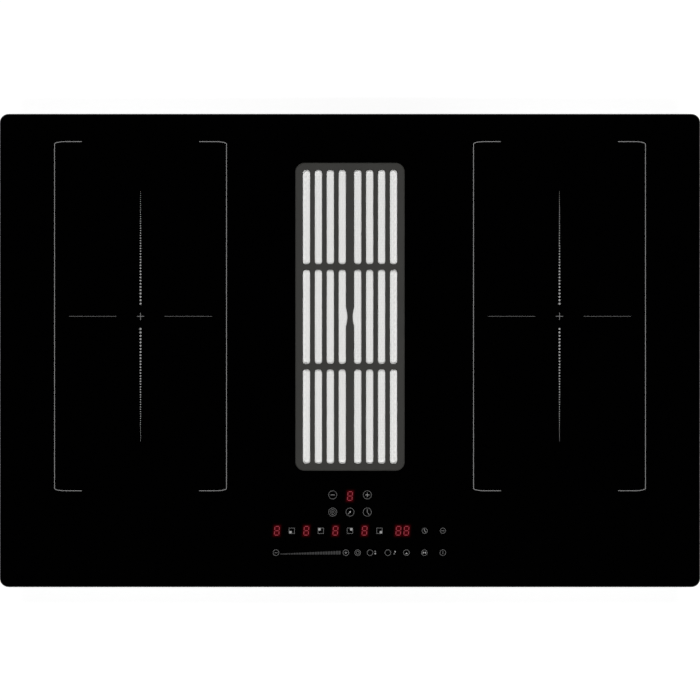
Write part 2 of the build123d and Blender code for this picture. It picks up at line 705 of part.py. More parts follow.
def fixing_brackets():
    """Folded brackets that reach under the worktop beside the casing."""
    leg = BRACKET_LEG + BRACKET_SHEET
    outline = Polyline(
        (0, 0),
        (0, BRACKET_REACH),
        (BRACKET_SHEET, BRACKET_REACH),
        (BRACKET_SHEET, BRACKET_SHEET),
        (leg, BRACKET_SHEET),
        (leg, 0),
        close=True,
    )
    bracket = Rot(90, 0, 0) * extrude(make_face(outline), BRACKET_WIDTH / 2, both=True)
    places = zip(side_wall_places(0, -WORKTOP_THICKNESS), bracket_screw_places())
    return group([drilled(place * bracket, [hole], 2 * BRACKET_SHEET) for place, hole in places])


def slot_sketch():
    """All openings of the grille about its middle, with the finger scallops beside the middle bar."""
    openings = Sketch()
    first = (MIDDLE_BAR + SLOT_WIDTH) / 2
    slot = RectangleRounded(SLOT_WIDTH, SLOT_LENGTH, SLOT_CORNER)
    for side in SIDES.values():
        for column in range(SLOT_COLUMNS):
            for y in spread(SLOT_ROWS, SLOT_LENGTH + CROSS_BAR):
                openings += Pos(side * (first + column * SLOT_PITCH), y) * slot
    radius = (GRIP_LENGTH**2 / 4 + GRIP_DEPTH**2) / (2 * GRIP_DEPTH)
    edge = MIDDLE_BAR / 2 - GRIP_DEPTH
    for side in SIDES.values():
        window = Pos(side * (edge + SLOT_WIDTH / 2), 0) * Rectangle(SLOT_WIDTH, GRIP_LENGTH)
        openings += window & (Pos(side * (edge + radius), 0) * Circle(radius))
    return openings


def vent_grille():
    """Cast grille with rounded rims and locating tabs below."""
    body = plate(GRILLE, GRILLE_CORNER, GRILLE_BOTTOM, GRILLE_TOP, VENT)
    body = fillet(rim_edges(body, GRILLE_TOP), GRILLE_ROUND)
    body -= Pos(0, VENT_Y, GRILLE_BOTTOM) * extrude(slot_sketch(), GRILLE_THICKNESS)
    top = body.faces().filter_by(Plane.XY).sort_by(Axis.Z)[-1]
    body = chamfer([edge for wire in top.inner_wires() for edge in wire.edges()], SLOT_ROUND)
    x = COLLAR_INSIDE[0] / 2 - COLLAR_GAP - TAB_THICKNESS / 2
    for side in SIDES.values():
        for y in spread(2, TAB_PITCH):
            at = (side * x, VENT_Y + y)
            body += block((TAB_THICKNESS, TAB_LENGTH), GRILLE_BOTTOM - TAB_DEPTH, GRILLE_BOTTOM, at)
    return body


def grille_pads():
    """Silicone pads between the grille and the glass."""
    x = (GRILLE[0] - VENT_LAP) / 2
    return group([
        plate((PAD_WIDTH, PAD_LENGTH), PAD_WIDTH / 3, GLASS_TOP, GRILLE_BOTTOM, (side * x, VENT_Y + y))
        for side in SIDES.values()
        for y in spread(PAD_COUNT, PAD_PITCH)
    ])


def vent_collar():
    """Moulded collar: a flange under the glass, a wall through it and a ledge for the drip tray."""
    outside = grown(DUCT_OUTSIDE, COLLAR_LAP)
    outer_corner = DUCT_CORNER + COLLAR_LAP
    flange = band(outside, COLLAR_OUTSIDE, outer_corner, COLLAR_SEAT, GLASS_BOTTOM, VENT)
    corner = max(VENT_HOLE_CORNER - COLLAR_GAP, MIN_CORNER)
    core = plate(COLLAR_OUTSIDE, corner, LEDGE_BOTTOM, GLASS_TOP, VENT)
    inner_corner = max(corner - COLLAR_WALL, MIN_CORNER)
    core -= plate(COLLAR_INSIDE, inner_corner, LEDGE_TOP, GLASS_TOP, VENT)
    core -= plate(LEDGE_INSIDE, inner_corner, LEDGE_BOTTOM, LEDGE_TOP, VENT)
    return flange + core


def filter_frame():
    """Folded steel rim of the grease filter."""
    return band(FILTER, FILTER_INSIDE, VENT_HOLE_CORNER, FILTER_BOTTOM, FILTER_TOP, VENT)


def filter_mesh():
    """Layered metal mesh held in the filter's rim."""
    return plate(FILTER_INSIDE, FILTER_CORNER, FILTER_BOTTOM + FILTER_LIP, FILTER_TOP - FILTER_LIP, VENT)


def drip_tray():
    """Tray that hangs in the collar: a rim, walls with air windows and a closed sump."""
    rim = plate(FILTER, VENT_HOLE_CORNER, LEDGE_TOP, FILTER_BOTTOM, VENT)
    body = plate(TRAY, 2 * TRAY_WALL, TRAY_BOTTOM, LEDGE_TOP, VENT)
    inside = plate(TRAY_INSIDE, TRAY_WALL, TRAY_BOTTOM + TRAY_WALL, FILTER_BOTTOM, VENT)
    tray = rim + body - inside
    window_top = LEDGE_BOTTOM - WINDOW_TOP
    window_bottom = TRAY_BOTTOM + TRAY_SUMP
    width = (TRAY_INSIDE[1] - (WINDOW_COUNT + 1) * WINDOW_RIB) / WINDOW_COUNT
    face = RectangleRounded(width, window_top - window_bottom, WINDOW_CORNER)
    window = Rot(90, 0, 90) * extrude(face, TRAY[0], both=True)
    z = (window_top + window_bottom) / 2
    return tray - [Pos(0, VENT_Y + y, z) * window for y in spread(WINDOW_COUNT, width + WINDOW_RIB)]


def inlet_duct():
    """Rectangular duct through the casing, with a foot flange on the pan floor."""
    wall = band(DUCT_OUTSIDE, DUCT_INSIDE, DUCT_CORNER, DUCT_BOTTOM, COLLAR_SEAT, VENT)
    outside = grown(DUCT_OUTSIDE, DUCT_FLANGE)
    foot_corner = DUCT_CORNER + DUCT_FLANGE
    foot = band(outside, DUCT_INSIDE, foot_corner, FLOOR, FLOOR + DUCT_WALL, VENT)
    return drilled(wall + foot, duct_screw_places(), 2 * DUCT_WALL)


def gusset(reach, height):
    """Triangular rib in the XZ plane, with its upright side at X = 0 and its long edge on Z = 0."""
    face = make_face(Polyline((0, 0), (reach, 0), (0, height), close=True))
    return extrude(Plane.XZ * face, RIB_THICKNESS / 2, both=True)


def air_box():
    """Moulded plenum below the pan, open at its foot, with ribs above its flange."""
    box = plate(BOX, BOX_CORNER, BOX_BOTTOM, CASING_BOTTOM, BOX_AT)
    box += plate(DECK, BOX_CORNER + BOX_FLANGE, BOX_BOTTOM, BOX_BOTTOM + BOX_WALL, BOX_AT)
    box -= plate(grown(BOX, -BOX_WALL), BOX_CORNER - BOX_WALL, BOX_BOTTOM, CASING_BOTTOM - BOX_WALL, BOX_AT)
    box -= plate(DUCT_HOLE, DUCT_CORNER + DUCT_GAP, CASING_BOTTOM - BOX_WALL, CASING_BOTTOM, VENT)
    rib = Pos(BOX[0] / 2 - BOX_WALL / 2, 0, BOX_BOTTOM + BOX_WALL) * gusset(BOX_FLANGE, BOX_RIB_HEIGHT)
    for turn in (0, 180):
        box += [Pos(0, BOX_AT[1] + y, 0) * Rot(0, 0, turn) * rib for y in spread(BOX_RIBS, DECK_SCREW_PITCH)]
    box = drilled(box, deck_screw_places(), 3 * BOX_WALL)
    return drilled(box, duct_screw_places(), DUCT_WALL + SHEET + 2 * BOX_WALL)


def fan_deck():
    """Plate between the air box and the scroll, with a round-lipped inlet mouth."""
    deck = plate(DECK, BOX_CORNER + BOX_FLANGE, DECK_BOTTOM, BOX_BOTTOM, BOX_AT)
    lip = revolve(Plane.XZ * (Pos(EYE_RADIUS + EYE_LIP, BOX_BOTTOM) * Circle(EYE_LIP)), Axis.Z)
    lip -= disc(EYE_RADIUS + 3 * EYE_LIP, DECK_BOTTOM - EYE_LIP, DECK_BOTTOM)
    nozzle = tube(EYE_RADIUS + NOZZLE_WALL, EYE_RADIUS, NOZZLE_BOTTOM, BOX_BOTTOM)
    fan = Pos(FAN_AT[0], FAN_AT[1], 0)
    deck = deck - disc(EYE_RADIUS, DECK_BOTTOM, BOX_BOTTOM, FAN_AT) + fan * lip + fan * nozzle
    deck = drilled(deck, deck_screw_places(), 2 * BOX_WALL)
    return drilled(deck, scroll_screw_places(), SCROLL_RIM_THICKNESS + 2 * BOX_WALL)


def scroll_housing():
    """Fan scroll: spiral wall, floor with a dish for the motor, ribbed top rim and outlet rim."""
    fan = Pos(FAN_AT[0], FAN_AT[1], 0)
    inside = Pos(0, 0, SCROLL_FLOOR) * extrude(scroll_face(0), OUTLET_HEIGHT)
    tub = Pos(0, 0, SCROLL_BOTTOM) * extrude(scroll_face(SCROLL_WALL), DECK_BOTTOM - SCROLL_BOTTOM)
    foot = [edge for edge in rim_edges(tub, SCROLL_BOTTOM) if edge.center().Y < OUTLET_RUN - SCROLL_ROUND]
    tub = fillet(foot, SCROLL_ROUND)
    rim_face = scroll_face(SCROLL_WALL + SCROLL_RIM)
    tub += Pos(0, 0, DECK_BOTTOM - SCROLL_RIM_THICKNESS) * extrude(rim_face, SCROLL_RIM_THICKNESS)
    rim_width = OUTLET_INSIDE + 2 * (SCROLL_WALL + SCROLL_RIM)
    rim_middle = (OUTLET_X - FAN_AT[0], OUTLET_RUN - SCROLL_RIM_THICKNESS / 2)
    tub += block((rim_width, SCROLL_RIM_THICKNESS), SCROLL_BOTTOM, DECK_BOTTOM, rim_middle)
    rib = Pos(0, 0, DECK_BOTTOM - SCROLL_RIM_THICKNESS) * gusset(SCROLL_RIM, -RIB_HEIGHT)
    for angle in SCROLL_RIB_ANGLES:
        x, y = scroll_point(angle, SCROLL_WALL / 2)
        tub += Pos(x, y, 0) * Rot(0, 0, angle) * rib
    tub -= inside
    tub += disc(DISH_RADIUS + SCROLL_WALL, SCROLL_BOTTOM, DISH_TOP)
    tub -= disc(DISH_RADIUS, SCROLL_BOTTOM, SCROLL_BOTTOM + DISH_DEPTH)
    tub = drilled(fan * tub, scroll_screw_places(), 2 * SCROLL_RIM_THICKNESS)
    tub = drilled(tub, spigot_screw_places(), SPIGOT_FLANGE + 2 * SCROLL_RIM_THICKNESS)
    return drilled(tub, motor_screw_places(), 2 * SCROLL_WALL)


def outlet_spigot():
    """Flanged rectangular spigot that takes a flat duct."""
    rim_width = OUTLET_INSIDE + 2 * (SCROLL_WALL + SCROLL_RIM)
    at = (OUTLET_X, BOX_REAR + SPIGOT_FLANGE / 2)
    flange = block((rim_width, SPIGOT_FLANGE), SCROLL_BOTTOM, DECK_BOTTOM, at)
    seat = Pos(OUTLET_X, BOX_REAR, OUTLET_MIDDLE) * Rot(90, 0, 0)
    length = SPIGOT_FLANGE + SPIGOT_LENGTH
    sleeve = extrude(RectangleRounded(OUTLET_WIDTH, OUTLET_HEIGHT, OUTLET_CORNER), -length)
    bore_size = grown((OUTLET_WIDTH, OUTLET_HEIGHT), -SPIGOT_WALL)
    bore = extrude(RectangleRounded(bore_size[0], bore_size[1], OUTLET_CORNER - SPIGOT_WALL), -length)
    return drilled(flange + seat * sleeve - seat * bore, spigot_screw_places(), 2 * SPIGOT_FLANGE)


def blade_sketch():
    """One forward-curved blade: a stretch of a thin ring between the blade circle's inner and outer radius.

    The ring's centre lies ahead of the blade, so its hollow side faces the way the fan turns.
    """
    middle = IMPELLER_RADIUS - BLADE_DEPTH / 2
    ring = Circle(BLADE_ARC + BLADE_THICKNESS / 2) - Circle(BLADE_ARC - BLADE_THICKNESS / 2)
    ring = Pos(middle, BLADE_ARC) * ring
    reach = Pos(middle, BLADE_ARC / 2 - BLADE_THICKNESS) * Rectangle(2 * BLADE_DEPTH, BLADE_ARC)
    belt = Circle(IMPELLER_RADIUS) - Circle(IMPELLER_RADIUS - BLADE_DEPTH)
    return ring & reach & belt


def impeller_back():
    """Back plate of the drum impeller, raised into a dome over the motor, with its hub."""
    under_dome = DOME_TOP - IMPELLER_WALL
    foot = BACK_PLATE + IMPELLER_WALL
    return turned([
        (IMPELLER_RADIUS, BACK_PLATE),
        (IMPELLER_RADIUS, foot),
        (DOME_FOOT + 2 * IMPELLER_WALL, foot),
        (DOME_HEAD + IMPELLER_WALL, DOME_TOP),
        (HUB_RADIUS, DOME_TOP),
        (HUB_RADIUS, DOME_TOP + HUB_HEIGHT),
        (SHAFT_RADIUS, DOME_TOP + HUB_HEIGHT),
        (SHAFT_RADIUS, under_dome),
        (DOME_HEAD, under_dome),
        (DOME_FOOT, BACK_PLATE),
    ], FAN_AT)


def impeller_blades():
    """Cage of blades between a foot ring on the back plate and a shroud ring."""
    foot = BACK_PLATE + IMPELLER_WALL
    inner = IMPELLER_RADIUS - BLADE_DEPTH
    blade = Pos(0, 0, foot) * extrude(blade_sketch(), SHROUD_TOP - foot)
    cage = tube(IMPELLER_RADIUS, inner, foot, foot + CAGE_RING)
    cage += tube(IMPELLER_RADIUS, inner + IMPELLER_WALL, SHROUD_TOP - IMPELLER_WALL, SHROUD_TOP)
    cage += [Rot(0, 0, 360 * i / BLADE_COUNT) * blade for i in range(BLADE_COUNT)]
    return Pos(FAN_AT[0], FAN_AT[1], 0) * cage


def impeller_nut():
    """Hexagon nut on the shaft's end."""
    seat = DOME_TOP + HUB_HEIGHT
    face = RegularPolygon(NUT_RADIUS, HEX_SIDES) - Circle(SHAFT_RADIUS)
    return Pos(FAN_AT[0], FAN_AT[1], seat) * extrude(face, NUT_HEIGHT)


def motor_shaft():
    """Shaft from the motor's lower bearing to above the nut."""
    low = MOTOR_SEAT + MOTOR_FLANGE + LIFT_GAP
    high = DOME_TOP + HUB_HEIGHT + NUT_HEIGHT + NUT_CLEAR
    return disc(SHAFT_RADIUS, low, high, FAN_AT)


def fan_motor():
    """Motor can with a foot flange and a bore for both bearings."""
    can = disc(MOTOR_RADIUS, MOTOR_SEAT, MOTOR_TOP)
    can = fillet(rim_edges(can, MOTOR_TOP), MOTOR_ROUND)
    can += disc(MOTOR_FLANGE_RADIUS, MOTOR_SEAT, MOTOR_SEAT + MOTOR_FLANGE)
    can -= disc(BEARING_RADIUS + BEARING_FIT, MOTOR_SEAT + MOTOR_FLANGE, MOTOR_TOP)
    can = Pos(FAN_AT[0], FAN_AT[1], 0) * can
    return drilled(can, motor_screw_places(), SCROLL_WALL + 3 * GROMMET_HEIGHT)


def shaft_bearings():
    """Two ring bearings at the ends of the motor's bore."""
    inner = SHAFT_RADIUS + SHAFT_GAP
    low = MOTOR_SEAT + MOTOR_FLANGE
    return group([
        tube(BEARING_RADIUS, inner, low, low + BEARING_HEIGHT, FAN_AT),
        tube(BEARING_RADIUS, inner, MOTOR_TOP - BEARING_HEIGHT, MOTOR_TOP, FAN_AT),
    ])


def motor_grommets():
    """Rubber rings between the scroll's dish and the motor."""
    fan = Pos(FAN_AT[0], FAN_AT[1], 0)
    ring = tube(GROMMET_RADIUS, SCREW_HOLE, DISH_TOP, MOTOR_SEAT)
    return group([fan * place * ring for place in PolarLocations(GROMMET_CIRCLE, GROMMET_COUNT)])


def coil_places():
    """Middle of each coil by its name."""
    return {
        f"{end}_{side}": (SIDES[side] * ZONE_X, ZONE_Y + ENDS[end] * COIL_PITCH / 2)
        for end in ENDS
        for side in SIDES
    }


def coil_winding(at):
    """Flat spiral of half turns, each half a pitch larger than the last, about two centres in turn."""
    start = COIL_INNER + WIRE_WIDTH / 2
    outer, inner = [], []
    for half in range(2 * COIL_TURNS):
        centre = (half % 2 * WIRE_PITCH / 2, 0)
        radius = start + half * WIRE_PITCH / 2
        turn = half % 2 * 180
        outer.append(CenterArc(centre, radius + WIRE_WIDTH / 2, turn, 180))
        inner.append(CenterArc(centre, radius - WIRE_WIDTH / 2, turn, 180))
    ends = [Line(inner[0] @ 0, outer[0] @ 0), Line(inner[-1] @ 1, outer[-1] @ 1)]
    return Pos(at[0], at[1], COIL_BOTTOM) * extrude(make_face(outer + inner + ends), WIRE_HEIGHT)


def coil_carrier(at):
    """Plastic spider below a winding."""
    outer = COIL_OUTER + CARRIER_RIM / 2
    face = Circle(outer) - Circle(outer - CARRIER_RIM)
    face += Circle(COIL_INNER) - Circle(CARRIER_HUB)
    run = outer - CARRIER_RIM / 2 - (CARRIER_HUB + COIL_INNER) / 2
    middle = (outer - CARRIER_RIM / 2 + (CARRIER_HUB + COIL_INNER) / 2) / 2
    for i in range(FERRITE_COUNT):
        face += Rot(0, 0, 360 * i / FERRITE_COUNT) * Pos(middle, 0) * Rectangle(run, SPOKE_WIDTH)
    return Pos(at[0], at[1], CARRIER_BOTTOM) * extrude(face, CARRIER_THICKNESS)


def ferrite_bars():
    """Radial bars below the spokes of every coil."""
    length = COIL_OUTER - COIL_INNER - 2 * FERRITE_END
    bar = block((length, FERRITE_WIDTH), PLATE_TOP, CARRIER_BOTTOM, ((COIL_OUTER + COIL_INNER) / 2, 0))
    return group([
        Pos(at[0], at[1], 0) * Rot(0, 0, 360 * i / FERRITE_COUNT) * bar
        for at in coil_places().values()
        for i in range(FERRITE_COUNT)
    ])


def coil_plate(side):
    """Aluminium plate that carries the two coils of one zone."""
    return plate(PLATE, PLATE_CORNER, PLATE_BOTTOM, PLATE_TOP, (side * ZONE_X, ZONE_Y))


def temperature_sensors():
    """Sensor in the middle of each coil, from the plate up to the insulation."""
    profile = [
        (0, PLATE_TOP),
        (SENSOR_BASE_RADIUS, PLATE_TOP),
        (SENSOR_BASE_RADIUS, PLATE_TOP + SENSOR_BASE),
        (SENSOR_RADIUS, PLATE_TOP + 2 * SENSOR_BASE),
        (SENSOR_RADIUS, COIL_TOP),
        (0, COIL_TOP),
    ]
    return group([turned(profile, at) for at in coil_places().values()])


def insulation_sheets():
    """Sheet between the glass and the two coils of each zone."""
    size = (2 * (COIL_OUTER + SHEET_MARGIN), COIL_PITCH + 2 * (COIL_OUTER + SHEET_MARGIN))
    return group([
        plate(size, PLATE_CORNER, COIL_TOP, GLASS_BOTTOM, (side * ZONE_X, ZONE_Y)) for side in SIDES.values()
    ])


def spring_places():
    """Places of the springs below both coil plates."""
    x, y = PLATE[0] / 2 - SPRING_INSET_X, PLATE[1] / 2 - SPRING_INSET_Y
    return [
        (side * ZONE_X + sign_x * x, ZONE_Y + sign_y * y)
        for side in SIDES.values()
        for sign_x in (-1, 1)
        for sign_y in (-1, 1)
    ]


def leaf_springs():
    """Bowed leaf springs: the belly stands on a post and both ends carry the plate."""
    rise = SPRING_RISE - SPRING_THICKNESS
    radius = (SPRING_SPAN**2 / 4 + rise**2) / (2 * rise)
    middle = SPRING_BOTTOM + SPRING_THICKNESS + radius
    ring = Circle(radius + SPRING_THICKNESS) - Circle(radius)
    window = Pos(0, -radius) * Rectangle(SPRING_SPAN, 2 * rise)
    bow = extrude(Plane.YZ * (Pos(0, middle) * (ring & window)), SPRING_WIDTH / 2, both=True)
    return group([Pos(x, y, 0) * bow for x, y in spring_places()])


def spring_posts():
    """Posts from the pan floor to the springs."""
    return group([disc(POST_RADIUS, FLOOR, SPRING_BOTTOM, at) for at in spring_places()])


def power_boards():
    """Circuit board of each side."""
    return group([
        plate(BOARD, MIN_CORNER, BOARD_BOTTOM, BOARD_TOP, (side * ZONE_X, BOARD_Y)) for side in SIDES.values()
    ])


def board_standoffs():
    """Pillars under the corners of both power boards."""
    x, y = BOARD[0] / 2 - STANDOFF_INSET, BOARD[1] / 2 - STANDOFF_INSET
    return group([
        disc(STANDOFF_RADIUS, FLOOR, BOARD_BOTTOM, (side * ZONE_X + sign_x * x, BOARD_Y + sign_y * y))
        for side in SIDES.values()
        for sign_x in (-1, 1)
        for sign_y in (-1, 1)
    ])


def heat_sinks():
    """Extruded heat sinks: a base with upright fins along the air flow."""
    length = BOARD[1] - 2 * SINK_END_GAP
    sink = block((SINK_WIDTH, length), BOARD_TOP, BOARD_TOP + SINK_BASE)
    pitch = (SINK_WIDTH - SINK_FIN) / (SINK_FINS - 1)
    for x in spread(SINK_FINS, pitch):
        sink += block((SINK_FIN, length), BOARD_TOP + SINK_BASE, BOARD_TOP + SINK_HEIGHT, (x, 0))
    return group([Pos(side * (ZONE_X + SINK_SHIFT), BOARD_Y, 0) * sink for side in SIDES.values()])


def board_components():
    """Film capacitors and ring chokes on both power boards."""
    capacitor = plate(CAPACITOR_SIZE, MIN_CORNER, BOARD_TOP, BOARD_TOP + CAPACITOR_HEIGHT)
    choke = tube(CHOKE_RADIUS, CHOKE_BORE, BOARD_TOP, BOARD_TOP + CHOKE_HEIGHT)
    solids = []
    for side in SIDES.values():
        x = side * (ZONE_X - PART_SHIFT_X)
        for y in spread(CAPACITOR_COUNT, CAPACITOR_PITCH):
            solids.append(Pos(x, BOARD_Y + CAPACITOR_SHIFT_Y + y, 0) * capacitor)
        for y in spread(2, CHOKE_PITCH):
            solids.append(Pos(x, BOARD_Y + CHOKE_SHIFT_Y + y, 0) * choke)
    return group(solids)


def cooling_fan(side):
    """Axial fan frame: square shroud, bore, struts and the rotor's pin."""
    face = RectangleRounded(FAN_FRAME, FAN_FRAME, FAN_CORNER) - Circle(FAN_BORE)
    face -= [place * Circle(SCREW_HOLE) for place in GridLocations(FAN_SCREW_PITCH, FAN_SCREW_PITCH, 2, 2)]
    frame = extrude(face, FAN_HEIGHT)
    spider = Circle(FAN_HUB)
    for i in range(FAN_STRUTS):
        strut = Rectangle(FAN_BORE + FAN_ROOT, FAN_STRUT_WIDTH)
        spider += Rot(0, 0, 360 * i / FAN_STRUTS) * Pos(FAN_BORE / 2, 0) * strut
    frame += extrude(spider, FAN_PLATE)
    frame += disc(FAN_PIN, FAN_PLATE, FAN_PLATE + FAN_HUB_HEIGHT)
    return Pos(side * ZONE_X, FAN_Y, FLOOR) * frame


def cooling_rotor(side):
    """Axial rotor: hub with a bore for the pin and twisted blades."""
    low = FAN_PLATE + FAN_LIFT
    hub = tube(FAN_HUB, FAN_PIN + FAN_PIN_GAP, low, low + FAN_HUB_HEIGHT)
    tip = FAN_BORE - FAN_TIP_GAP
    middle = low + FAN_HUB_HEIGHT / 2
    blank = Pos((tip + FAN_HUB) / 2, 0, middle) * Rot(FAN_TWIST, 0, 0) * Box(tip, FAN_CHORD, FAN_BLADE)
    blade = blank & tube(tip, FAN_HUB - FAN_ROOT, low, low + FAN_HUB_HEIGHT)
    blades = [Rot(0, 0, 360 * i / FAN_BLADES) * blade for i in range(FAN_BLADES)]
    return Pos(side * ZONE_X, FAN_Y, FLOOR) * (hub + blades)


def key_places():
    """Middle of each round touch pad on the display board."""
    keys = [(x, KEY_ROW_SPEED) for x in spread(2, 2 * FAN_KEY_PITCH)]
    keys += [(x, KEY_ROW_FAN) for x in spread(3, FAN_KEY_PITCH)]
    keys += [(x + ZONE_KEY_STEP, KEY_ROW_ZONE) for x in ZONE_DIGITS]
    keys += [(x, KEY_ROW_ZONE) for x in FUNCTION_COLUMNS[-TIMER_KEYS:]]
    keys += [(x, KEY_ROW_LEVEL) for x in [LEVEL_DOWN_X, LEVEL_UP_X, BOOST_KEY_X] + FUNCTION_COLUMNS]
    return [(x, FRONT_EDGE + row) for x, row in keys]


def touch_pads():
    """Conductive foam pads between the display board and the glass, with one long slider pad."""
    pads = [disc(KEY_PAD_RADIUS, DISPLAY_TOP, GLASS_BOTTOM, at) for at in key_places()]
    left = LEVEL_DOWN_X + SLIDER_GAP
    right = LEVEL_UP_X - SLIDER_GAP
    slider_at = ((left + right) / 2, FRONT_EDGE + KEY_ROW_LEVEL)
    pads.append(block((right - left, SLIDER_WIDTH), DISPLAY_TOP, GLASS_BOTTOM, slider_at))
    return group(pads)


def digit_displays():
    """Seven-segment modules for the zones, the timer and the fan."""
    row = FRONT_EDGE + KEY_ROW_ZONE
    places = [(x, row) for x in ZONE_DIGITS]
    places += [(TIMER_DIGIT_X, row), (TIMER_DIGIT_X + TIMER_DIGIT_STEP, row)]
    places.append((0.0, FRONT_EDGE + KEY_ROW_SPEED))
    return group([block(DIGIT_SIZE, DISPLAY_TOP, DISPLAY_TOP + DIGIT_HEIGHT, at) for at in places])


def display_board():
    """Circuit board below the controls."""
    return plate(DISPLAY, MIN_CORNER, DISPLAY_BOTTOM, DISPLAY_TOP, DISPLAY_AT)


def display_holder():
    """Plastic tray with bosses under the board and legs down to the pan."""
    inside = grown(DISPLAY, HOLDER_GAP)
    outside = grown(inside, HOLDER_WALL)
    bottom = HOLDER_FLOOR - HOLDER_WALL
    holder = plate(outside, 2 * HOLDER_WALL, bottom, DISPLAY_TOP + HOLDER_LIP, DISPLAY_AT)
    holder -= plate(inside, MIN_CORNER, HOLDER_FLOOR, DISPLAY_TOP + HOLDER_LIP, DISPLAY_AT)
    x, y = DISPLAY[0] / 2 - BOSS_INSET, DISPLAY[1] / 2 - BOSS_INSET
    for sign_x in (-1, 1):
        for sign_y in (-1, 1):
            at = (DISPLAY_AT[0] + sign_x * x, DISPLAY_AT[1] + sign_y * y)
            holder += disc(BOSS_RADIUS, HOLDER_FLOOR, DISPLAY_BOTTOM, at)
            holder += disc(POST_RADIUS, FLOOR, bottom, at)
    return holder


def terminal_block():
    """Mains terminal block with a row of screw wells."""
    at = (TERMINAL_X, TERMINAL_Y)
    body = plate(TERMINAL_SIZE, 2 * MIN_CORNER, FLOOR, FLOOR + TERMINAL_HEIGHT, at)
    top = FLOOR + TERMINAL_HEIGHT
    wells = [
        disc(TERMINAL_HOLE, top - TERMINAL_HOLE_DEPTH, top, (at[0], at[1] + y))
        for y in spread(TERMINAL_WAYS, TERMINAL_PITCH)
    ]
    return body - wells


def cable_gland():
    """Cable gland through the rear wall: domed head with a tight seal outside, wider body inside."""
    head = disc(GLAND_HEAD, 0, GLAND_HEAD_LENGTH)
    head = fillet(rim_edges(head, GLAND_HEAD_LENGTH), GLAND_ROUND)
    body = head + disc(GLAND_THREAD - BEARING_FIT, -GLAND_INSIDE, 0)
    seal = GLAND_HEAD_LENGTH - GLAND_SEAL_LENGTH
    body -= disc(GLAND_BODY_BORE, -GLAND_INSIDE, seal)
    body -= disc(GLAND_BORE, seal, GLAND_HEAD_LENGTH)
    return Pos(TERMINAL_X, CASING[1] / 2, GLAND_Z) * Rot(-90, 0, 0) * body


def gland_locknut():
    """Hexagon nut that holds the gland inside the wall."""
    face = RegularPolygon(GLAND_HEAD, HEX_SIDES) - Circle(GLAND_THREAD)
    seat = Pos(TERMINAL_X, CASING[1] / 2 - SHEET, GLAND_Z) * Rot(90, 0, 0)
    return seat * extrude(face, LOCKNUT_LENGTH)


def all_pieces():
    """Every node's name and shape."""
    pieces = {
        "glass_top": glass_top(),
        "worktop_seal": worktop_seal(),
        "support_frame": support_frame(),
        "base_pan": base_pan(),
        "fixing_brackets": fixing_brackets(),
        "insulation_sheets": insulation_sheets(),
        "ferrite_bars": ferrite_bars(),
        "temperature_sensors": temperature_sensors(),
        "leaf_springs": leaf_springs(),
        "spring_posts": spring_posts(),
        "power_boards": power_boards(),
        "board_standoffs": board_standoffs(),
        "heat_sinks": heat_sinks(),
        "board_components": board_components(),
        "display_board": display_board(),
        "display_holder": display_holder(),
        "digit_displays": digit_displays(),
        "touch_pads": touch_pads(),
        "terminal_block": terminal_block(),
        "cable_gland": cable_gland(),
        "gland_locknut": gland_locknut(),
        "vent_grille": vent_grille(),
        "grille_pads": grille_pads(),
        "filter_frame": filter_frame(),
        "filter_mesh": filter_mesh(),
        "drip_tray": drip_tray(),
        "vent_collar": vent_collar(),
        "inlet_duct": inlet_duct(),
        "air_box": air_box(),
        "fan_deck": fan_deck(),
        "scroll_housing": scroll_housing(),
        "outlet_spigot": outlet_spigot(),
        "impeller_back": impeller_back(),
        "impeller_blades": impeller_blades(),
        "impeller_nut": impeller_nut(),
        "motor_shaft": motor_shaft(),
        "fan_motor": fan_motor(),
        "shaft_bearings": shaft_bearings(),
        "motor_grommets": motor_grommets(),
        "casing_screws": screws(2 * SHEET + SCREW_OVERRUN, casing_screw_places()),
        "bracket_screws": screws(BRACKET_SHEET + SHEET + SCREW_OVERRUN, bracket_screw_places()),
        "duct_screws": screws(DUCT_WALL + SHEET + BOX_WALL + SCREW_OVERRUN, duct_screw_places()),
        "deck_screws": screws(2 * BOX_WALL + SCREW_OVERRUN, deck_screw_places()),
        "scroll_screws": screws(SCROLL_RIM_THICKNESS + BOX_WALL + SCREW_OVERRUN, scroll_screw_places()),
        "spigot_screws": screws(SPIGOT_FLANGE + SCROLL_RIM_THICKNESS + SCREW_OVERRUN, spigot_screw_places()),
        "motor_screws": screws(
            SCROLL_WALL + GROMMET_HEIGHT + MOTOR_FLANGE + SCREW_OVERRUN, motor_screw_places()
        ),
    }
    for name, at in coil_places().items():
        pieces[f"coil_winding_{name}"] = coil_winding(at)
        pieces[f"coil_carrier_{name}"] = coil_carrier(at)
    for name, side in SIDES.items():
        pieces[f"coil_plate_{name}"] = coil_plate(side)
        pieces[f"cooling_fan_{name}"] = cooling_fan(side)
        pieces[f"cooling_rotor_{name}"] = cooling_rotor(side)
    return pieces


os.makedirs("parts", exist_ok=True)
for name, shape in all_pieces().items():
    export_step(shape, f"parts/{name}.step")
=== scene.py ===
"""Looks of a vented induction hob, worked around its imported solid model."""
import json
import math

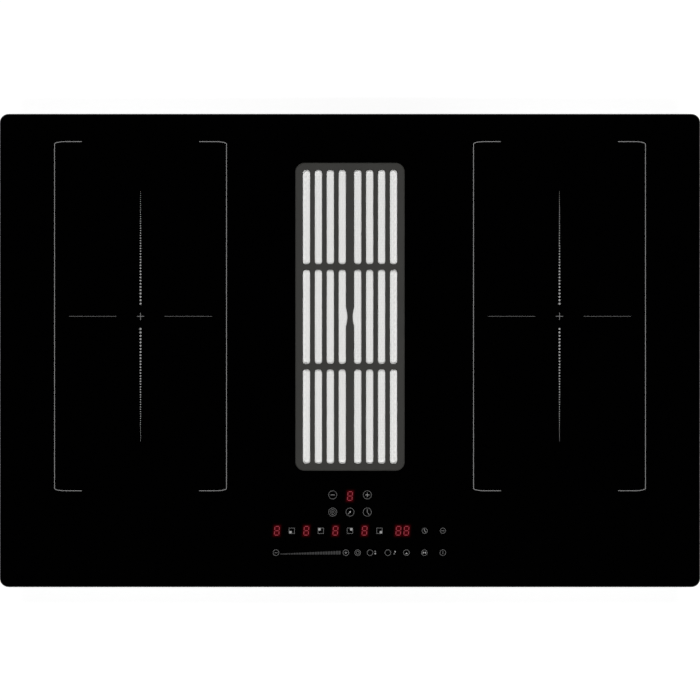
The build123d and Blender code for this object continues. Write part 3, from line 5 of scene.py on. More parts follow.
import bpy
import numpy as np
from bpy.props import FloatProperty, FloatVectorProperty, PointerProperty
from bpy.types import Operator, Panel, PropertyGroup
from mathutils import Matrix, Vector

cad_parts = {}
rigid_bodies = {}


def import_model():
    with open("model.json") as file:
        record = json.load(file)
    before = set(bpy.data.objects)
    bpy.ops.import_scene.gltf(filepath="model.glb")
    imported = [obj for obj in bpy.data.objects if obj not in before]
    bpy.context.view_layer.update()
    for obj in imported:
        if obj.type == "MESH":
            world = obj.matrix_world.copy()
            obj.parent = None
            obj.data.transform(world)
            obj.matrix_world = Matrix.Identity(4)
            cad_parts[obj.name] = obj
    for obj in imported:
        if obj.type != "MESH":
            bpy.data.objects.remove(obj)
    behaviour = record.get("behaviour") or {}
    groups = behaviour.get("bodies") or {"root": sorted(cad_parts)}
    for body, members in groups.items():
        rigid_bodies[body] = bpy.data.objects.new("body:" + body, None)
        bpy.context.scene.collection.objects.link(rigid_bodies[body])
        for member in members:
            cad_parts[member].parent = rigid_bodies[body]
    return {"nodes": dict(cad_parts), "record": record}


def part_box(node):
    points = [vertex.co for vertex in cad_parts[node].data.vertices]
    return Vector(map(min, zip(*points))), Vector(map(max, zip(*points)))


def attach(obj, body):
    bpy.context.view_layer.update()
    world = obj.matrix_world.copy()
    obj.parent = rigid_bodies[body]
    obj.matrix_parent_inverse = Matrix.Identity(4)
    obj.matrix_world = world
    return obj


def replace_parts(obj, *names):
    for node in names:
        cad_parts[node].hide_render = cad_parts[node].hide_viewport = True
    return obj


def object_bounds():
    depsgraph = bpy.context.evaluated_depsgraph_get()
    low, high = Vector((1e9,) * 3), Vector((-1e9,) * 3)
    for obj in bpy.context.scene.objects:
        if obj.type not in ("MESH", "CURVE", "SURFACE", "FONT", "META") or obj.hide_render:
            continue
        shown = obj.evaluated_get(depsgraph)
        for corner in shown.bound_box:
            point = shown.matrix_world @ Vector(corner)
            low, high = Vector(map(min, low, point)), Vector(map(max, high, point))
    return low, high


bl_info = {
    "name": "Vented hob looks",
    "version": (1, 0, 0),
    "blender": (4, 5, 0),
    "location": "3D View > Sidebar > Hob",
    "description": "Prints, lit digits, filter mesh, screws, finishes and stage of a vented induction hob",
    "category": "Object",
}

for leftover in list(bpy.data.objects):
    bpy.data.objects.remove(leftover)
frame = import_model()
CAD_BOX = [list(corner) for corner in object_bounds()]

MM = 0.001
BODY = "hob"
GLASS_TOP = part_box("glass_top")[1].z

# Prints and glow, in millimetres below and above the glass's upper face
INK_BELOW = 0.02
INK_ABOVE = 0.03
GLOW_ABOVE = 0.01
PRINT_LOW = GLASS_TOP - INK_BELOW * MM
PRINT_HIGH = GLASS_TOP + INK_ABOVE * MM
GLOW_HIGH = GLASS_TOP + GLOW_ABOVE * MM

# Cooking zones, in millimetres from the middle of the cut-out
ZONE_X = (-230.15, 230.15)
ZONE_Y = 37.55
BRACKET_REACH = 94.45
BRACKET_TOP = 229.5
BRACKET_BOTTOM = -154.1
# One corner of a bracket: the level stub's reach from the upright, and the quarter ellipse that joins them
STUB_REACH = 30.0
CORNER_WIDE = 12.0
CORNER_TALL = 2.7
CORNER_STEPS = 12
DASH_FROM = 26.6
DASH_TO = 78.5
CROSS_ARM = 4.0

# Dotted level lines above and below each zone's middle: the pitch falls by an even ratio
DOT_COUNT = 44
DOT_FIRST = 13.87
DOT_PITCH = (3.79, 2.09)
DOT_SIDES = 20

# Rows of keys
ROW_VENT = -158.6
ROW_TIMER = -177.5
ROW_ZONES = -198.05
ROW_LEVEL = -222.1
KEY_COLUMN = 19.0
KEY_RADIUS = 4.5
SMALL_KEY_RADIUS = 2.95
LEVEL_KEY_RADIUS = 3.15
RING_SIDES = 56

# Keys of the zone row, then of the level row, named for their symbols
HANDS_KEY = 82.1
DASH_KEY = 102.0
MINUS_KEY = -81.3
PLUS_KEY = -4.5
RINGS_KEY = 8.4
DOTS_KEY = 22.0
STEPS_KEY = 41.6
PEAK_KEY = 62.0
BOW_KEY = 81.7
BAR_KEY = 102.0
LEVEL_KEYS = (MINUS_KEY, PLUS_KEY, RINGS_KEY, DOTS_KEY, STEPS_KEY, PEAK_KEY, BOW_KEY, BAR_KEY)

# Rings within a key's own ring
TARGET_RADII = (2.7, 1.1)
INNER_RADIUS = 1.7

# Zone squares: the middle's x, and the way from there to the middle of the filled quarter
SQUARE_HALF = 3.0
QUARTER_SIDE = 2.5
ZONE_SQUARES = ((-64.0, -1.4, -1.5), (-32.1, -1.4, 1.5), (-0.1, 1.5, 1.5), (32.4, 1.5, -1.5))

# Minus and plus signs: half their length, and their width
VENT_MINUS = (2.2, 0.82)
ZONE_DASH = (1.6, 0.65)
LEVEL_MINUS = (1.7, 0.5)
VENT_PLUS = (2.3, 0.46)
LEVEL_PLUS = (1.3, 0.36)

# Other symbols, from the key's middle: strokes are x0, y0, x1, y1 and width, the hub is x, y and radius,
# and the peak and the bow's two halves are corners
HANDS = ((0.0, 3.0, 0.0, 0.0, 0.75), (0.1, -0.2, 2.0, -2.8, 0.75))
SMALL_HANDS = ((-0.7, 2.2, -0.1, 0.0, 1.0), (0.0, -0.1, 1.2, -1.8, 1.0))
NEEDLE = ((-2.4, -2.4, -0.5, -0.5, 0.8),)
NEEDLE_HUB = (0.2, 0.2, 0.9)
UPRIGHT = ((0.0, -1.5, 0.0, 1.5, 0.5),)
UPPER_DOT = ((5.7, 0.9, 5.7, 2.2, 1.3),)
LOWER_DOT = ((5.7, -1.7, 5.7, -0.3, 1.4),)
LOWER_STEP = ((7.0, -2.0, 7.0, -0.7, 1.3),)
UPPER_STEP = ((8.0, 0.3, 8.0, 1.9, 1.3),)
PEAK = ((-1.5, -1.5), (1.5, -1.5), (0.0, 0.3))
BOW_LEFT = ((-1.7, -1.4), (0.0, 0.0), (-1.7, 1.4))
BOW_RIGHT = ((1.8, -1.4), (1.8, 1.4), (0.1, 0.0))

# Slider: a solid first bar, then bars at an even pitch that rise from left to right
SLIDER_LEFT = -76.6
SLIDER_RIGHT = -9.4
SLIDER_FLOOR = -224.1
SLIDER_SOLID = 8.8
SLIDER_PITCH = 2.9
SLIDER_GAP = 0.55
SLIDER_HEIGHT = (0.9, 4.1)

# Lit digits: one for the vent, four for the zones, and a pair
ROW_DIGITS = -198.0
DIGIT_COLUMNS = (-80.3, -48.0, -16.0, 16.0, 53.2, 62.0)
VENT_DIGIT = (0.0, -159.9)
DIGIT_PLACES = (VENT_DIGIT, *((x, ROW_DIGITS) for x in DIGIT_COLUMNS))
DIGIT_WIDTH = 5.0
DIGIT_HEIGHT = 9.6
DIGIT_SLANT = 0.08
DIGIT_STROKE = 0.9
DIGIT_GAP = 0.3
GLOW_MARGIN = 6.0
GLOW_FADE = 3.0
GLOW_STEP = 0.4
GLOW_REACH = 0.75

# Filter mesh: diamonds by length and width, and a flat hem that is wider at the ends
MESH_STEP = 0.95
MESH_CORNER = 4.5
DIAMOND = (6.6, 3.6)
DIAMOND_DEPTH = 0.55
SIDE_HEM = 1.0
END_HEM = 2.4
# Width of the painted light strip along the filter mesh's four sides, where the grille's border shades the
# mesh
PAINTED_LIGHT_EDGE = 1.0
FILTER_METALLIC = 0.25

# Screws: corners within the span are one screw's, and those beyond a share of the head's radius its head's.
# The head has rows of points inside the reach of its recess and outside it
SCREW_SPAN = 20.0
HEAD_RADIUS = 3.8
HEAD_HEIGHT = 2.4
HEAD_DOME = 0.9
HEAD_SHARE = 0.8
INNER_ROWS = (0.8, 1.3, 1.8)
OUTER_ROWS = (2.9, 3.5)
RECESS_HALF = 0.55
RECESS_REACH = 2.2
RECESS_LIP = 0.08
RECESS_TAPER = 0.7
RECESS_DEPTH = 1.3
SHANK_RADIUS = 1.9
TIP_GAP = 0.1

# Stage, in metres: the lamps hang high, just outside what the glass mirrors to a camera above it
FLOOR_HALF = 20.0
CAMERA_FAR = 100.0
LAMP_OUT = 1.8
LAMP_HEIGHT = 12.0
LAMP_SIZE = (2.0, 0.6)

# Share of the floor's paint that shows, the height above which the dome is dark, its fade, and what the
# camera's own view of it gains
FLOOR_SHOWN = 0.45
DOME_EDGE = 0.55
DOME_FADE = 2.5
BACKDROP_GAIN = 2.0
NO_LIGHT = (0.0, 0.0, 0.0)
FULL_LIGHT = (1.0, 1.0, 1.0)

# Corners of a square about its middle, in halves of its side
UNIT_SQUARE = ((-1, -1), (1, -1), (1, 1), (-1, 1))


def tint(name, description, default):
    """Colour property, in linear values."""
    return FloatVectorProperty(
        name=name, description=description, default=default, subtype="COLOR", size=3, min=0.0, max=1.0
    )


def length(name, description, millimetres):
    """Length property, given in millimetres and kept in metres."""
    return FloatProperty(
        name=name, description=description, default=millimetres * MM, unit="LENGTH", precision=5
    )


def amount(name, description, default, unit="NONE"):
    """Number property, kept as it is given and shown in a unit."""
    return FloatProperty(name=name, description=description, default=default, unit=unit)


class HobPrint(PropertyGroup):
    """Printed marks and lit digits on the glass."""

    bracket_ink: tint("Bracket ink", "Grey of the zone brackets", (0.285, 0.285, 0.285))
    line_ink: tint("Line ink", "Grey of the zones' middles and the key symbols", (0.18, 0.18, 0.18))
    dot_ink: tint("Dot ink", "Grey of the dotted level lines", (0.36, 0.36, 0.36))
    fill_ink: tint("Fill ink", "Grey of the filled marks", (0.36, 0.36, 0.36))
    slider_ink: tint("Slider ink", "Grey of the slider's bars", (0.05, 0.05, 0.05))
    digit_light: tint("Digit light", "Light of the digits' strokes", (0.255, 0.036, 0.05))
    digit_glow: tint("Digit glow", "Light that spreads round the digits", (0.052, 0.0009, 0.0025))
    digit_lens: tint("Digit lens", "Dark lens below the digits' light", (0.03, 0.004, 0.005))
    bracket_line: length("Bracket line", "Width of the zone brackets", 0.63)
    dash_line: length("Dash line", "Width of the dashes beside a zone's middle", 0.335)
    key_line: length("Key line", "Width of the key symbols' lines", 0.345)
    small_line: length("Small key line", "Width of the small keys' lines", 0.375)
    dot_large: length("Largest dot", "Diameter of the dot nearest a zone's middle", 2.2)
    dot_small: length("Smallest dot", "Diameter of the dot furthest out", 0.57)


class HobFinish(PropertyGroup):
    """Colours of the hob's materials."""

    glass: tint("Glass", "Black glass", (0.0003, 0.0003, 0.00034))
    cast: tint("Cast grille", "Dark enamel of the grille", (0.0362, 0.0357, 0.0329))
    filter_metal: tint("Filter metal", "Light metal of the filter mesh", (0.59, 0.59, 0.58))
    # Painted light: a lighter colour along the filter mesh's four sides, which lightens the shade that the
    # grille's border casts there
    filter_painted_light: tint("Filter edge", "Bright cut edge of the filter mesh", (0.95, 0.95, 0.94))
    filter_rim: tint("Filter rim", "Satin metal of the filter frame", (0.59, 0.59, 0.58))
    zinc: tint("Zinc", "Zinc-coated steel sheet", (0.52, 0.53, 0.54))
    aluminium: tint("Aluminium", "Plates and heat sinks", (0.66, 0.67, 0.68))
    duct: tint("Duct plastic", "Moulded air path", (0.045, 0.046, 0.048))
    fan: tint("Fan plastic", "Moulded fans", (0.025, 0.026, 0.028))
    pale: tint("Pale plastic", "Coil carriers, holders and terminals", (0.62, 0.61, 0.57))
    screw: tint("Screw steel", "Zinc-plated screws", (0.6, 0.61, 0.62))
    steel: tint("Bright steel", "Shaft, bearings and springs", (0.63, 0.62, 0.6))
    copper: tint("Copper", "Enamelled copper strands", (0.55, 0.2, 0.075))
    board: tint("Board", "Solder mask", (0.01, 0.07, 0.025))
    mica: tint("Mica", "Insulation sheets", (0.5, 0.45, 0.34))
    seal: tint("Seal foam", "Foam below the glass's edge", (0.03, 0.03, 0.03))
    silicone: tint("Silicone", "Pads of the grille", (0.03, 0.03, 0.032))
    rubber: tint("Rubber", "Moulded rubber", (0.018, 0.018, 0.018))
    ferrite: tint("Ferrite", "Pressed ferrite bars", (0.012, 0.012, 0.013))
    ferrite_fleck: tint("Ferrite flecks", "Lighter flecks in the ferrite", (0.03, 0.03, 0.032))
    component: tint("Components", "Moulded components of the boards", (0.02, 0.02, 0.021))
    display_light: tint("Display light", "Light of the displays below the glass", (0.06, 0.004, 0.004))
    display_lens: tint("Display lens", "Dark red lens of the displays", (0.05, 0.008, 0.008))


class HobStage(PropertyGroup):
    """Lamps, floor and camera."""

    lamp_power: amount("Lamp power", "Watts of each of the two high lamps", 555.0, "POWER")
    dome: amount("Dome", "Strength of the dome that lights the hob", 1.0)
    floor_light: amount("Floor light", "What the camera sees of the floor's own white", 0.8)
    floor_tint: tint("Floor", "Pale floor", (0.8, 0.8, 0.8))
    lens: amount("Lens", "Focal length in millimetres", 200.0, "CAMERA")
    camera_height: length("Camera height", "Height of the camera over the worktop", 4278.5)
    camera_shift: length("Camera offset", "How far the camera stands behind the middle of the cut-out", 0.55)


class Wire:
    """One socket of a node tree, on which Python's operators add Math nodes."""

    def __init__(self, tree, socket=None):
        self.tree = tree
        self.socket = socket

    def node(self, kind, settings=None, sockets=None, out=0):
        """Adds a node of a type, sets its settings first, then the values or links of its sockets."""
        made = self.tree.nodes.new(kind)
        for key, value in (settings or {}).items():
            setattr(made, key, value)
        for key, value in (sockets or {}).items():
            entry = made.inputs[key]
            if isinstance(value, Wire):
                self.tree.links.new(value.socket, entry)
            elif entry.type == "RGBA":
                entry.default_value = (*value, 1.0)
            else:
                entry.default_value = value
        return Wire(self.tree, made.outputs[out] if made.outputs else None)

    def math(self, operation, first, second=0.0):
        """Math node on values."""
        return self.node("ShaderNodeMath", {"operation": operation}, {0: first, 1: second})

    def __add__(self, other):
        return self.math("ADD", self, other)

    __radd__ = __add__

    def __sub__(self, other):
        return self.math("SUBTRACT", self, other)

    def __rsub__(self, other):
        return self.math("SUBTRACT", other, self)

    def __mul__(self, other):
        return self.math("MULTIPLY", self, other)

    __rmul__ = __mul__

    def __gt__(self, other):
        return self.math("GREATER_THAN", self, other)

    def __lt__(self, other):
        return self.math("LESS_THAN", self, other)

    def place(self):
        """Object coordinates."""
        return self.node("ShaderNodeTexCoord", out="Object")

    def stretched(self, scale):
        """Coordinates multiplied axis by axis."""
        return self.node("ShaderNodeMapping", sockets={"Vector": self, "Scale": scale})

    def noise(self, scale, detail=3.0):
        """Noise on these coordinates, from 0 to 1."""
        return self.node("ShaderNodeTexNoise", sockets={"Vector": self, "Scale": scale, "Detail": detail})

    def cells(self, scale, out="Distance"):
        """Cell pattern on these coordinates."""
        return self.node("ShaderNodeTexVoronoi", sockets={"Vector": self, "Scale": scale}, out=out)

    def axis(self, index):
        """One component of a vector."""
        return self.node("ShaderNodeSeparateXYZ", sockets={0: self}, out=index)

    def span(self, low, high):
        """Value that goes from low to high as this one goes from 0 to 1."""
        return low + (high - low) * self

    def blend(self, other, share):
        """Weighted mean: this value by its share, and another by the rest."""
        return share * self + (1 - share) * other

    def mix(self, low, high):
        """Colour that goes from low to high as this value goes from 0 to 1."""
        return self.node("ShaderNodeMix", {"data_type": "RGBA"}, {0: self, 6: low, 7: high}, out=2)

    def tones(self, colour, dark, light):
        """One colour, times dark where this value is 0 and times light where it is 1."""
        return self.mix(scaled(colour, dark), scaled(colour, light))

    def bump(self, strength, depth):
        """Normal that this height pushes in and out, by a depth in millimetres."""
        sockets = {"Strength": strength, "Distance": depth * MM, "Height": self}
        return self.node("ShaderNodeBump", sockets=sockets)


def begun(name):
    """New material with an empty tree, and a wire to add nodes to it."""
    material = bpy.data.materials.new(name)
    material.use_nodes = True
    material.node_tree.nodes.clear()
    return material, Wire(material.node_tree)


def closed(material, wire, sockets):
    """Joins a principled shader with these sockets to the material's output."""
    shader = wire.node("ShaderNodeBsdfPrincipled", sockets=sockets)
    wire.node("ShaderNodeOutputMaterial", sockets={"Surface": shader})
    return material


def scaled(colour, factor):
    """Colour times a number, kept within 1."""
    return tuple(min(1.0, part * factor) for part in colour)


def glass_sockets(wire, colour):
    """Polished black glass: cloudy noise moves the roughness a little, as wiping leaves it."""
    clouds = wire.place().noise(scale=11.0)
    return {
        "Base Color": clouds.tones(colour, dark=0.6, light=1.4),
        "Roughness": clouds.span(low=0.006, high=0.014),
        "IOR": 1.52,
    }


def glass_finish(colour):
    """Material of the glass panel."""
    material, wire = begun("black_glass_finish")
    return closed(material, wire, glass_sockets(wire, colour))


def ink_finish(name, colour):
    """Fired ink: a fine grain makes its grey and its gloss uneven."""
    material, wire = begun(name)
    grain = wire.place().noise(scale=1900.0)
    sockets = {
        "Base Color": grain.tones(colour, dark=0.9, light=1.1),
        "Roughness": grain.span(low=0.015, high=0.03),
        "Specular IOR Level": 0.3,
    }
    return closed(material, wire, sockets)


def cast_finish(colour):
    """Enamelled casting: fine pits in the skin, and broad uneven tone."""
    material, wire = begun("cast_grille_finish")
    place = wire.place()
    pits = place.noise(scale=1100.0, detail=5.0)
    tone = place.noise(scale=35.0)
    sockets = {
        "Base Color": pits.blend(tone, share=0.65).tones(colour, dark=0.7, light=1.3),
        "Roughness": pits.span(low=0.55, high=0.75),
        "Specular IOR Level": 0.15,
        "Normal": pits.bump(strength=0.6, depth=0.5),
    }
    return closed(material, wire, sockets)


def moulded_finish(name, colour, rough=0.5, grain=900.0, relief=0.08):
    """Moulded plastic or rubber: spark-eroded grain in the surface and a faint change of tone."""
    material, wire = begun(name)
    place = wire.place()
    skin = place.noise(scale=grain, detail=4.0)
    tone = place.noise(scale=18.0)
    sockets = {
        "Base Color": tone.blend(skin, share=0.6).tones(colour, dark=0.85, light=1.15),
        "Roughness": skin.span(low=rough - 0.08, high=rough + 0.08),
        "Normal": skin.bump(strength=0.4, depth=relief),
    }
    return closed(material, wire, sockets)


def spangled_finish(colour, warp=0.006):
    """Zinc-coated sheet: crystal cells that differ in tone and gloss, under a fine rolled grain."""
    material, wire = begun("zinc_sheet_finish")
    place = wire.place()
    shift = warp * place.noise(scale=90.0)
    bent = place.node("ShaderNodeVectorMath", {"operation": "ADD"}, {0: place, 1: shift})
    crystal = bent.cells(scale=240.0, out="Color").axis(0)
    grain = place.noise(scale=1400.0, detail=4.0)
    stain = place.noise(scale=14.0)
    tone = 0.45 * crystal + 0.3 * grain + 0.25 * stain
    sockets = {
        "Base Color": tone.tones(colour, dark=0.78, light=1.2),
        "Roughness": 0.3 + 0.14 * crystal + 0.1 * grain,
        "Metallic": 1.0,
        "Normal": grain.bump(strength=0.15, depth=0.05),
    }
    return closed(material, wire, sockets)


def brushed_finish(name, colour, stretch, rough=0.32):
    """Brushed metal: noise drawn out along one axis moves tone, gloss and surface together."""
    material, wire = begun(name)
    strokes = wire.place().stretched(stretch).noise(scale=1.0, detail=4.0)
    sockets = {
        "Base Color": strokes.tones(colour, dark=0.86, light=1.12),
        "Roughness": strokes.span(low=rough - 0.08, high=rough + 0.1),
        "Metallic": 1.0,
        "Normal": strokes.bump(strength=0.2, depth=0.04),
    }
    return closed(material, wire, sockets)


def satin_sockets(wire, colour, metallic):
    """Light satin metal: fine grain and faint clouding."""
    place = wire.place()
    grain = place.noise(scale=1200.0)
    clouds = place.noise(scale=45.0)
    return {
        "Base Color": grain.blend(clouds, share=0.5).tones(colour, dark=0.95, light=1.05),
        "Roughness": grain.span(low=0.42, high=0.56),
        "Metallic": metallic,
        "Normal": grain.bump(strength=0.15, depth=0.05),
    }


def satin_finish(name, colour, metallic=1.0):
    """Material of a satin metal."""
    material, wire = begun(name)
    return closed(material, wire, satin_sockets(wire, colour, metallic))


def painted_light_mesh_finish(colour, edge, low, high):
    """Satin metal of the filter mesh, with a painted light strip along the four sides of the mesh's box,
    which lightens the shade that the grille's border casts there.
    """
    material, wire = begun("filter_metal_finish")
    sockets = satin_sockets(wire, colour, FILTER_METALLIC)
    place = wire.place()
    strips = []
    for index in (0, 1):
        middle = (low[index] + high[index]) / 2
        reach = high[index] - middle - PAINTED_LIGHT_EDGE * MM
        strips.append(wire.math("ABSOLUTE", place.axis(index) - middle) > reach)
    # Painted light: the strips take a lighter colour than the metal, against the shade of the grille's
    # border
    sockets["Base Color"] = wire.math("MAXIMUM", *strips).mix(sockets["Base Color"], edge)
    return closed(material, wire, sockets)


def foam_finish(colour):
    """Closed-cell foam: small round cells dent the surface."""
    material, wire = begun("seal_foam_finish")
    cells = wire.place().cells(scale=800.0)
    sockets = {
        "Base Color": cells.tones(colour, dark=0.6, light=1.3),
        "Roughness": cells.span(low=0.8, high=0.95),
        "Normal": cells.bump(strength=0.7, depth=0.3),
    }
    return closed(material, wire, sockets)


def litz_finish(name, colour, centre, wander=0.0012, turns=9000.0):
    """Stranded copper: a sine of the radius from the coil's middle, moved by noise, draws the strands."""
    material, wire = begun(name)
    place = wire.place()
    away = place.node("ShaderNodeVectorMath", {"operation": "SUBTRACT"}, {0: place, 1: centre})
    radius = away.node("ShaderNodeVectorMath", {"operation": "LENGTH"}, {0: away}, out="Value")
    lay = place.noise(scale=260.0)
    strand = 0.5 + 0.5 * radius.math("SINE", (radius + wander * lay) * turns)
    sockets = {
        "Base Color": strand.tones(colour, dark=0.45, light=1.15),
        "Roughness": lay.span(low=0.28, high=0.42),
        "Metallic": 1.0,
        "Normal": strand.bump(strength=0.6, depth=0.2),
    }
    return closed(material, wire, sockets)


def speckled_finish(name, dark, light, scale, rough):
    """Pressed material: flakes of two tones, with a dull grain between them."""
    material, wire = begun(name)
    place = wire.place()
    flake = place.cells(scale, out="Color").axis(0)
    grain = place.noise(scale=3.0 * scale)
    sockets = {
        "Base Color": flake.blend(grain, share=0.65).mix(dark, light),
        "Roughness": flake.span(low=rough - 0.1, high=rough + 0.1),
        "Normal": grain.bump(strength=0.3, depth=0.06),
    }
    return closed(material, wire, sockets)


def board_finish(colour, wander=0.012, tracks=420.0, gap=0.55, bare=0.45):
    """Circuit board: lighter tracks under the solder mask, in bundles where a cell pattern lets them run."""
    material, wire = begun("board_finish")
    place = wire.place()
    across = place.axis(0) + wander * place.noise(scale=22.0)
    stripe = place.math("FRACT", across * tracks)
    bundle = place.cells(scale=38.0, out="Color").axis(1) > bare
    track = (stripe > gap) * bundle
    grain = place.noise(scale=500.0)
    sockets = {
        "Base Color": track.blend(grain, share=0.75).tones(colour, dark=0.7, light=1.9),
        "Roughness": grain.span(low=0.3, high=0.4),
        "Coat Weight": track.span(low=0.3, high=0.5),
        "Normal": track.bump(strength=0.25, depth=0.035),
    }
    return closed(material, wire, sockets)


def lit_finish(name, light, lens):
    """Lit stroke: an even light with a slight mottle over a dark lens."""
    material, wire = begun(name)
    mottle = wire.place().noise(scale=900.0)
    sockets = {
        "Base Color": mottle.tones(lens, dark=0.7, light=1.0),
        "Roughness": mottle.span(low=0.02, high=0.04),
        "Emission Color": mottle.tones(light, dark=0.85, light=1.15),
        "Emission Strength": 1.0,
    }
    return closed(material, wire, sockets)


def glow_finish(colour, light):
    """Glass with light in it: the piece's own glow attribute says how much."""
    material, wire = begun("digit_glow_finish")
    glow = wire.node("ShaderNodeAttribute", {"attribute_name": "glow"}, out="Fac")
    sockets = glass_sockets(wire, colour)
    sockets["Emission Color"] = glow.mix(NO_LIGHT, light)
    sockets["Emission Strength"] = 1.0
    return closed(material, wire, sockets)


def nodes_of(slot):
    """Names of the solid nodes that a material slot covers."""
    return [row["node"] for row in frame["record"]["subparts"] if row["material_slot"] == slot]


def dress(node, material):
    """Puts a material on a solid node."""
    mesh = frame["nodes"][node].data
    mesh.materials.clear()
    mesh.materials.append(material)


def dress_slot(slot, material):
    """Puts a material on every solid node of a slot."""
    names = nodes_of(slot)
    if not names:
        raise RuntimeError(f"no solid has the slot {slot}")
    for name in names:
        dress(name, material)


class Solid:
    """Points and faces of one piece, gathered shape by shape."""

    def __init__(self):
        self.points = []
        self.faces = []
        self.count = 0

    def add(self, points, faces):
        """Adds a shape: its points, and a list of face arrays that count from its first point."""
        points = np.asarray(points, float).reshape(-1, 3)
        self.points.append(points)
        for rows in faces:
            self.faces += (np.reshape(rows, (-1, np.shape(rows)[-1])) + self.count).tolist()
        self.count += len(points)
        return self

    def piece(self, name, material, slot, body=BODY, smooth=False):
        """Makes the mesh object, which rides on a body and takes the given material. The slot is not used.
        """
        if not self.count:
            raise RuntimeError(f"{name} has no points")
        mesh = bpy.data.meshes.new(name)
        mesh.from_pydata(np.concatenate(self.points).tolist(), [], self.faces)
        mesh.materials.append(material)
        mesh.polygons.foreach_set("use_smooth", np.full(len(mesh.polygons), smooth))
        mesh.update()
        made = bpy.data.objects.new(name, mesh)
        bpy.context.scene.collection.objects.link(made)
        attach(made, body)
        return made


def prisms(outlines):
    """Printed prisms: flat outlines in millimetres, anticlockwise, carried down through the print."""
    outlines = np.asarray(outlines, float) * MM
    count, corners, _ = outlines.shape
    points = np.empty((count, 2, corners, 3))
    points[..., :2] = outlines[:, None]
    points[:, 0, :, 2] = PRINT_HIGH
    points[:, 1, :, 2] = PRINT_LOW
    first = np.arange(count)[:, None] * 2 * corners
    ring = np.arange(corners)
    after = np.roll(ring, -1)
    top = first + ring
    bottom = first + corners + ring
    sides = np.stack([top, bottom, first + corners + after, first + after], -1)
    return points, [top, bottom[:, ::-1], sides]


def ribbon(path, width, loop=False):
    """Printed band: a rectangle carried along a flat path in millimetres, with mitred corners.

    Where sides with the normals n0 and n1 meet, its edges lie at (n0 + n1) / (1 + n0.n1) half widths."""
    path = np.asarray(path, float) * MM
    run = np.roll(path, -1, 0) - path
    run /= np.linalg.norm(run, axis=1, keepdims=True)
    after = np.stack([-run[:, 1], run[:, 0]], -1)
    if not loop:
        after[-1] = after[-2]
    before = np.roll(after, 1, 0)
    if not loop:
        before[0] = after[0]
    mitre = (before + after) / (1 + (before * after).sum(1, keepdims=True)) * width / 2
    count = len(path)
    points = np.empty((count, 4, 3))
    points[:, (0, 3), :2] = (path + mitre)[:, None]
    points[:, (1, 2), :2] = (path - mitre)[:, None]
    points[:, :2, 2] = PRINT_HIGH
    points[:, 2:, 2] = PRINT_LOW
    k = np.arange(count if loop else count - 1)[:, None] * 4
    i = np.arange(4)
    ahead = (k + 4) % (4 * count)
    faces = [np.stack([k + i, k + (i + 1) % 4, ahead + (i + 1) % 4, ahead + i], -1)]
    if not loop:
        faces += [[[0, 3, 2, 1]], [4 * (count - 1) + i]]
    return points, faces


def bars(rows):
    """Rectangles along straight runs, as outlines. Each row gives x0, y0, x1, y1 and the width."""
    rows = np.asarray(rows, float)
    start, end = rows[:, :2], rows[:, 2:4]
    run = end - start
    run /= np.linalg.norm(run, axis=1, keepdims=True)
    side = np.stack([-run[:, 1], run[:, 0]], -1) * rows[:, 4:] / 2
    return np.stack([start - side, end - side, end + side, start + side], 1)


def discs(rows, sides=DOT_SIDES):
    """Round spots, as outlines: centre + radius (cos t, sin t). Each row gives x, y and the radius."""
    rows = np.asarray(rows, float)
    turn = np.arange(sides) * 2 * math.pi / sides
    return rows[:, None, :2] + rows[:, None, 2:] * np.stack([np.cos(turn), np.sin(turn)], -1)


def circle(x, y, radius):
    """Points round a circle, for a closed band."""
    return discs([(x, y, radius)], RING_SIDES)[0]


def slab(xs, ys, top, bottom):
    """Closed plate on a grid of x and y: upper and lower heights over the grid, joined round the edge."""
    rows, columns = len(ys), np.shape(xs)[-1]
    points = np.empty((2, rows, columns, 3))
    points[..., 0] = xs
    points[..., 1] = np.asarray(ys)[:, None]
    points[0, ..., 2] = top
    points[1, ..., 2] = bottom
    index = np.arange(rows * columns).reshape(rows, columns)
    under = index + rows * columns
    quad = np.stack([index[:-1, :-1], index[:-1, 1:], index[1:, 1:], index[1:, :-1]], -1)
    rim = np.concatenate([index[0, :-1], index[:-1, -1], index[-1, :0:-1], index[:0:-1, 0]])
    after = np.roll(rim, -1)
    skirt = np.stack([rim, rim + rows * columns, after + rows * columns, after], -1)
    lower = np.stack([under[:-1, :-1], under[1:, :-1], under[1:, 1:], under[:-1, 1:]], -1)
    return points, [quad.reshape(-1, 4), lower.reshape(-1, 4), skirt]


class HOB_OT_glass(Operator):
    """Polished black glass, and the foam seal below its edge"""

    bl_idname = "hob.glass"
    bl_label = "Glass"

    def execute(self, context):
        look = context.scene.hob_finish
        dress_slot("black_glass", glass_finish(look.glass))
        dress_slot("seal_foam", foam_finish(look.seal))
        return {"FINISHED"}


class HOB_OT_grille(Operator):
    """Cast vent grille on its silicone pads"""

    bl_idname = "hob.grille"
    bl_label = "Vent grille"

    def execute(self, context):
        look = context.scene.hob_finish
        dress_slot("cast_grille", cast_finish(look.cast))
        dress_slot("silicone", moulded_finish("silicone_finish", look.silicone, rough=0.6, grain=600.0))
        return {"FINISHED"}


class HOB_OT_filter(Operator):
    """Grease filter: expanded metal mesh with a flat hem, in its satin rim"""

    bl_idname = "hob.filter"
    bl_label = "Grease filter"

    def execute(self, context):
        look = context.scene.hob_finish
        dress_slot("filter_rim", satin_finish("filter_rim_finish", look.filter_rim, FILTER_METALLIC))
        low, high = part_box("filter_mesh")
        metal = painted_light_mesh_finish(look.filter_metal, look.filter_painted_light, low, high)
        dress_slot("filter_metal", metal)
        plate = Solid().add(*expanded_mesh(low, high))
        mesh = plate.piece("expanded_mesh", metal, "filter_metal", "grease_filter", smooth=True)
        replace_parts(mesh, "filter_mesh")
        return {"FINISHED"}


